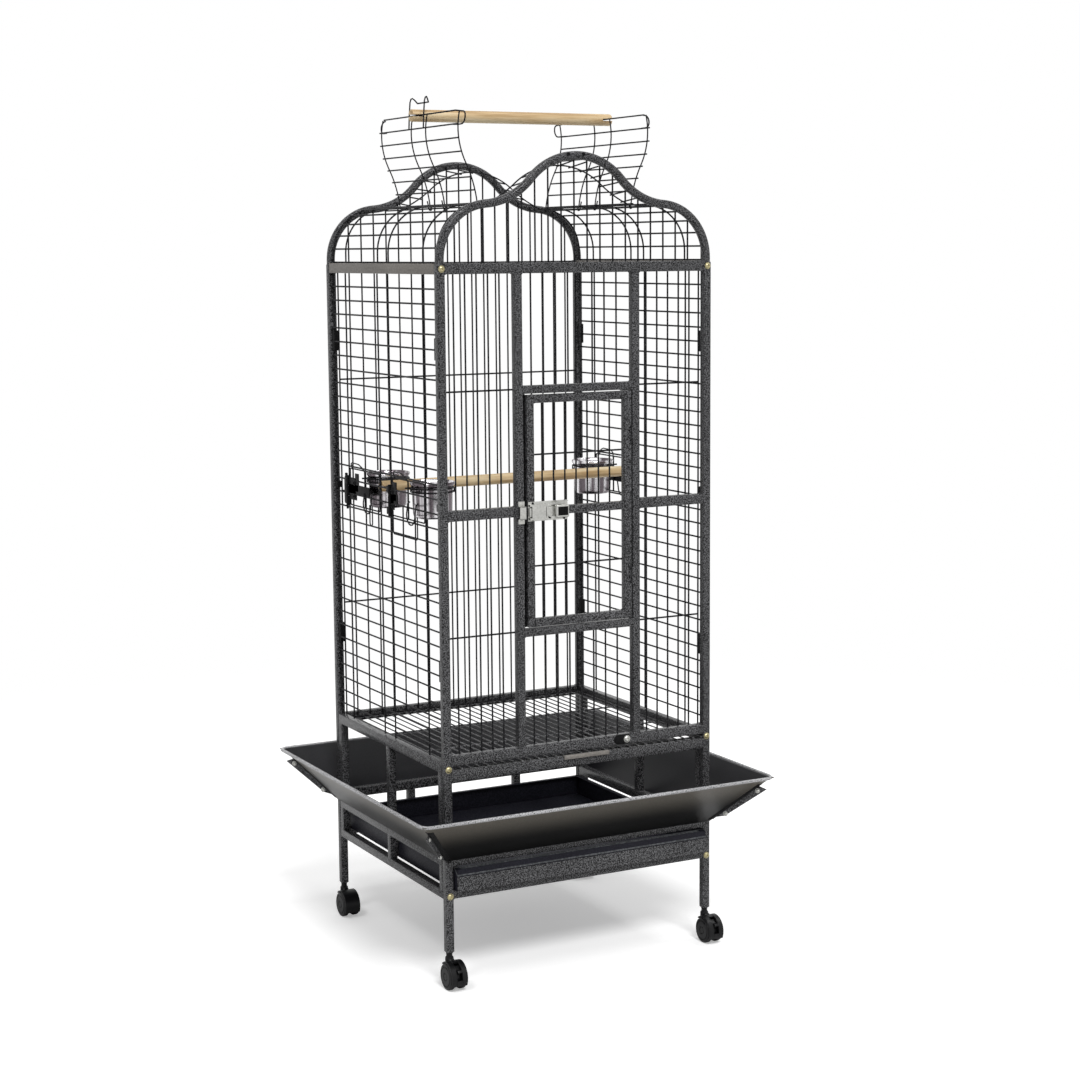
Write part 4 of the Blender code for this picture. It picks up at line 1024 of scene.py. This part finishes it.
# Tray: folded from thin sheet, 45 mm deep, with a turned-in lip round the top. Satin near-black powder
# coat, the front face hammered like the frame.
low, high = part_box("tray")
lip_w, sheet = 0.010, 0.0016
bm = bmesh.new()
lip_low = high.z - sheet
for x0, y0, x1, y1, z0 in (
    (low.x, low.y, high.x, low.y + sheet, low.z),
    (low.x, high.y - sheet, high.x, high.y, low.z),
    (low.x, low.y, low.x + sheet, high.y, low.z),
    (high.x - sheet, low.y, high.x, high.y, low.z),
    (low.x, high.y - lip_w, high.x, high.y, lip_low),
    (low.x, low.y, low.x + lip_w, high.y, lip_low),
    (high.x - lip_w, low.y, high.x, high.y, lip_low),
):
    bar(bm, (x0, y0, z0), (x1, y1, high.z), 0.0006)
bar(bm, (low.x + 0.0003, low.y + 0.0003, low.z), (high.x - 0.0003, high.y - 0.0003, low.z + sheet), 0.0005)
tray_coat = hammered_coat("tray_powder_coat", "1A1A20", "26262E", 0.0030, 0.40, 0.3)
keep_piece(bm, "tray_pan", "tray", tray_coat, ("tray",))
face_top, over_x = low.z + 0.0295, 0.0002
bm = bmesh.new()
bar(bm, (low.x - over_x, low.y - 0.0006, low.z + 0.0002), (high.x + over_x, low.y + 0.0010, face_top), 0.0005)
keep_piece(bm, "tray_front", "tray", silver_vein)
# The turned-over top of the tray's front: a smooth band that slopes back from the face to the lip.
# The band's paler grey is painted light, as the band faces up towards the light.
smooth_coat_painted_light = hammered_coat("smooth_powder_coat_painted_light", "484A4C", "626467", 0.0040, 0.42, 0.12)
section = [
    (-0.0012, face_top + 0.0022), (-0.0020, face_top + 0.0030), (-0.0012, face_top + 0.0042),
    (0.0130, high.z + 0.0001), (0.0150, high.z + 0.0001), (0.0150, high.z - 0.0016),
    (0.0015, face_top + 0.0024),
]
bm = bmesh.new()
thicken(bm, [(low.x - over_x, low.y + a, z) for a, z in section], (high.x - low.x + 2 * over_x, 0, 0))
keep_piece(bm, "tray_front_band", "tray", smooth_coat_painted_light)


# Skirt: four sloping sheets of steel round the stand, which throw spilt seed back to the tray. Black
# plates cover the seams at the corners, where the sheets' ends are folded out into fins and screwed
# together. Satin powder coat on the sheets, hammered coat on the rim and the fins.
def satin_sheet(name):
    """Powder-coated sheet: dark, satin, with a fine orange peel. The outside is drawn brownish grey near
    the rim and nearly black at its foot, a painted sheen for the light from above; the inside is black."""
    coat, tree, where = new_material(name)
    peel = add_node(tree, "TexNoise", {"Vector": where, "Scale": 420.0, "Detail": 3.0})
    height = add_node(tree, "SeparateXYZ", {0: where})
    # Painted sheen: the outside is lighter towards the rim, for the light that falls on it from above.
    rise = add_node(
        tree, "MapRange", {"Value": height.outputs[2], "From Min": 0.282, "From Max": 0.352},
        interpolation_type="SMOOTHSTEP",
    )
    outside = add_node(
        tree, "Mix", {0: rise.outputs[0], 6: linear("0B0B0B"), 7: linear("625E57")}, data_type="RGBA"
    )
    way = add_node(tree, "SeparateXYZ", {0: add_node(tree, "NewGeometry").outputs["Normal"]})
    up = add_node(tree, "Math", {0: way.outputs[2], 1: 0.0}, operation="GREATER_THAN")
    tone = add_node(
        tree, "Mix", {0: up.outputs[0], 6: outside.outputs[2], 7: linear("1C1C1F")}, data_type="RGBA"
    )
    speck = add_node(
        tree, "MapRange",
        {"Value": peel.outputs["Fac"], "From Min": 0.3, "From Max": 0.7, "To Min": 0.75, "To Max": 1.25},
    )
    colour = add_node(tree, "VectorMath", {0: tone.outputs[2], 1: speck.outputs[0]}, operation="MULTIPLY")
    skin = add_node(tree, "Bump", {"Height": peel.outputs["Fac"], "Strength": 0.12, "Distance": 0.0006})
    shader = add_node(
        tree, "BsdfPrincipled",
        {"Base Color": colour.outputs[0], "Roughness": 0.34, "Specular IOR Level": 0.5, "IOR": 1.27,
         "Normal": skin.outputs[0]},
    )
    add_node(tree, "OutputMaterial", {"Surface": shader.outputs[0]})
    return coat


satin = satin_sheet("satin_powder_coat")
skirt_low, skirt_top = 0.252, 0.356
reach_x, reach_y = 0.790 / 2 - half_w, 0.750 / 2 - half_d
for word, side, reach, other, half, end_half, flip in (
    ("front", -1, reach_y, reach_x, half_d, half_w, False),
    ("rear", 1, reach_y, reach_x, half_d, half_w, False),
    ("left", -1, reach_x, reach_y, half_w, half_d, True),
    ("right", 1, reach_x, reach_y, half_w, half_d, True),
):
    # The sheet rises to a narrow lip, which runs on into the rim.
    section = [
        (0.0004, skirt_low), (reach - 0.0098, skirt_top - 0.0048), (reach - 0.0040, skirt_top - 0.0038),
        (reach - 0.0040, skirt_top - 0.0022), (reach - 0.0104, skirt_top - 0.0032),
        (0.0004, skirt_low + 0.0016),
    ]
    ends = []
    for end in (-1, 1):
        spots = []
        for out, z in section:
            away, along = side * (half + out), end * (end_half + out * other / reach - 0.0003)
            spots.append((away, along, z) if flip else (along, away, z))
        ends.append(spots)
    bm = bmesh.new()
    near, far = thicken(bm, ends[0], (0, 0, 0))
    for vert in far:
        twin = min(range(len(near)), key=lambda n: (near[n].co - vert.co).length)
        vert.co = ends[1][twin]
    keep_piece(bm, f"skirt_{word}_sheet", "cage", satin, ("skirt_" + word,))
# Rim: the sheets' upper edges are rolled into one round hem, which runs round the corners in small bends.
rim_r, bend_r = 0.0033, 0.020
far_x, far_rim_y = half_w + reach_x - rim_r, half_d + reach_y - rim_r
loop = [(0, far_rim_y)]
for sx, sy, a0 in ((-1, 1, 90), (-1, -1, 180), (1, -1, 270), (1, 1, 0)):
    cx, cy = sx * (far_x - bend_r), sy * (far_rim_y - bend_r)
    for i in range(7):
        a = math.radians(a0 + 15 * i)
        loop.append((cx + bend_r * math.cos(a), cy + bend_r * math.sin(a)))
loop.append((0.0, far_rim_y))
bm = bmesh.new()
sweep(bm, [(x, y, skirt_top - rim_r) for x, y in loop], rim_r, 16)
# The rim's pale speckle is a painted highlight, for the light that catches its rolled top.
rim_coat_painted_highlight = hammered_coat("rim_powder_coat_painted_highlight", "2A2A2C", "B4B4B6", 0.0018, 0.20, 0.6, 0.5, 0.40, 0.50)
keep_piece(bm, "skirt_rim", "cage", rim_coat_painted_highlight)
corners = (("front_left", -1, -1), ("front_right", 1, -1), ("rear_left", -1, 1), ("rear_right", 1, 1))
rise, plate_proud, plate_thick = skirt_top - 0.006 - skirt_low, 0.0014, 0.0016
screws = bmesh.new()
for word, sx, sy in corners:
    bm = bmesh.new()
    rows = []
    for z in (skirt_low + 0.004, skirt_top - 0.018):
        share = (z - skirt_low) / rise
        out_x, out_y = [0.0003 + share * (reach - 0.0123) for reach in (reach_x, reach_y)]
        x, y = half_w + max(out_x, out_y * reach_x / reach_y), half_d + max(out_y, out_x * reach_y / reach_x)
        rows.append([
            Vector((sx * (x + a), sy * (y + b), z))
            for a, b in ((-0.011, plate_proud), (plate_proud, plate_proud), (plate_proud, -0.009))
        ])
    grid = [[bm.verts.new(spot) for spot in row] for row in rows]
    for i in (0, 1):
        bm.faces.new((grid[0][i], grid[0][i + 1], grid[1][i + 1], grid[1][i]))
    bmesh.ops.recalc_face_normals(bm, faces=bm.faces)
    bmesh.ops.solidify(bm, geom=bm.faces[:], thickness=plate_thick)
    soften(bm, [edge for edge in bm.edges if edge.calc_length() > 0.05], 0.0005)
    keep_piece(bm, f"skirt_{word}_plate", "cage", black_coat, ("skirt_corner_" + word,))
    # Fin: the sheets' ends are folded out together along the corner and held by two screws.
    outward = Vector((sx, sy, 0)).normalized()
    across = outward.cross(Vector((0, 0, 1)))
    if across.y > 0:
        across.negate()
    half_fin = across * 0.0008
    foot_in, top_in = [rows[0][1].lerp(rows[1][1], share) for share in (0.06, 0.94)]
    fin = [
        foot_in - outward * 0.001, foot_in + outward * 0.0180 + Vector((0, 0, 0.004)),
        top_in + outward * 0.0150 - Vector((0, 0, 0.006)), top_in - outward * 0.001,
    ]
    bm = bmesh.new()
    thicken(bm, [spot + half_fin for spot in fin], half_fin * -2)
    soften(bm, bm.edges[:], 0.0005)
    keep_piece(bm, f"skirt_{word}_fin", "cage", silver_vein)
    for share in (0.12, 0.86):
        spot = foot_in.lerp(top_in, share) + outward * 0.0085
        bolt_head(screws, spot + half_fin, across, 0.0042, 0.0024)
        pin(screws, spot - half_fin, -across, 0.0034, 0.0024, 6)
keep_piece(screws, "skirt_screws", "cage", zinc)


# Castors: twin-wheel furniture castors of black nylon, 52 mm wheels under one round hood, on a steel stem
# pushed into the leg. The two front ones have a brake pedal between the wheels.
wheel_r, trail, hood_start, hood_end = 0.026, 0.019, -28, 128
# Moulded nylon: the eye sees black with a soft sheen and a very fine spark-eroded grain.
nylon = grained_surface(
    "moulded_nylon", "070708", "121214", 900, 3, 0.32, 0.48, {"Specular IOR Level": 0.22}
)
wheel_profile = [
    (0, 0), (0.0236, 0), (0.0252, 0.0006), (0.0260, 0.0022), (0.0260, 0.0086), (0.0252, 0.0106),
    (0.0232, 0.0116), (0.0205, 0.0118), (0.0196, 0.0104), (0.0188, 0.0104), (0.0180, 0.0119),
    (0.0120, 0.0122), (0.0085, 0.0119), (0.0078, 0.0108), (0.0070, 0.0108), (0.0062, 0.0118), (0, 0.0120),
]
socket_profile = [
    (0, 0), (0.0050, 0), (0.0070, 0.0018), (0.0084, 0.0080), (0.0084, 0.0170), (0.0076, 0.0192),
    (0.0062, 0.0200), (0.0060, 0.0255), (0.0068, 0.0262), (0.0068, 0.0277), (0, 0.0277),
]


def plate_x(bm, outline, x0, x1, ease=0.0009):
    """A flat outline of (y, z) points given thickness along X, its edges softened."""
    near, far = thicken(bm, [(x0, a, b) for a, b in outline], (x1 - x0, 0, 0))
    edges = {edge for vert in near + far for edge in vert.link_edges}
    soften(bm, [edge for edge in edges if abs(edge.verts[0].co.x - edge.verts[1].co.x) < 1e-6], ease)


def hood_band(bm, axle, x0, x1, start, end):
    """A strip of the hood bent round the axle, from one angle to the other, up from the trailing side."""
    r0, r1, ease = 0.0266, 0.0298, 0.0008
    section = [(x0 + ease, r0), (x1 - ease, r0), (x1, r0 + ease), (x1, r1 - ease), (x1 - ease, r1),
               (x0 + ease, r1), (x0, r1 - ease), (x0, r0 + ease)]
    a = math.radians(start)
    strip = bm.faces.new([
        bm.verts.new((x, axle.y - r * math.cos(a), axle.z + r * math.sin(a))) for x, r in section
    ])
    bmesh.ops.spin(
        bm, geom=[strip, *strip.edges, *strip.verts], cent=axle, axis=(-1, 0, 0),
        angle=math.radians(end - start), steps=max(2, int((end - start) / 8)),
    )


def round_axle(axle, spots):
    """Places given by radius and angle round the axle, as (y, z)."""
    return [
        (axle.y - r * math.cos(math.radians(v)), axle.z + r * math.sin(math.radians(v))) for r, v in spots
    ]


for word, sx, sy in corners:
    x, y = sx * (half_w - tube / 2), sy * (half_d - tube / 2)
    axle = Vector((x, y - trail, wheel_r))
    # Wheels: each a dished disc with a rounded tread, a raised hub and a ring groove on its outer face.
    bm = bmesh.new()
    for out in (-1, 1):
        turned(bm, (x + out * 0.0062, axle.y, wheel_r), (out, 0, 0), wheel_profile, 48)
    pin(bm, (x - 0.0075, axle.y, wheel_r), (1, 0, 0), 0.003, 0.015, 16)
    wheels = f"caster_wheels_{word}"
    keep_piece(bm, f"castor_wheels_{word}", wheels, nylon, (wheels,))
    # Body: the web between the wheels, the round socket for the stem, and the hood over both treads.
    bm = bmesh.new()
    web = [(y + 0.0072, 0.0570), (y + 0.0072, 0.0400), (y + 0.002, 0.022)]
    web += round_axle(axle, [(0.0212, v) for v in range(-130, 91, 20)]) + [(y - 0.012, 0.0570)]
    plate_x(bm, web, x - 0.0050, x + 0.0050)
    turned(bm, (x, y, 0.0400), (0, 0, 1), socket_profile, 28)
    if sy < 0:
        for x0, x1 in ((x - 0.0168, x - 0.0058), (x + 0.0058, x + 0.0168)):
            hood_band(bm, axle, x0, x1, hood_start, hood_end)
        hood_band(bm, axle, x - 0.0060, x + 0.0060, 74, hood_end)
        hood_band(bm, axle, x - 0.0060, x + 0.0060, hood_start, -4)
    else:
        hood_band(bm, axle, x - 0.0168, x + 0.0168, hood_start, hood_end)
    keep_piece(bm, f"castor_body_{word}", f"caster_{word}", nylon, (f"caster_body_{word}",))
    if sy < 0:
        # Pedal: it rides in the hood's gap, with a tab that sticks out to be trodden on.
        pedal = [(0.0215, v) for v in (20, 28, 36, 44, 52, 60, 66)] + [(0.0252, v) for v in (66, 54, 43)]
        pedal += [(0.0345, 33), (0.0345, 26)]
        bm = bmesh.new()
        plate_x(bm, round_axle(axle, pedal), x - 0.0050, x + 0.0050, 0.0006)
        brake = f"caster_brake_{word}"
        keep_piece(bm, f"castor_brake_{word}", brake, nylon, (brake,))
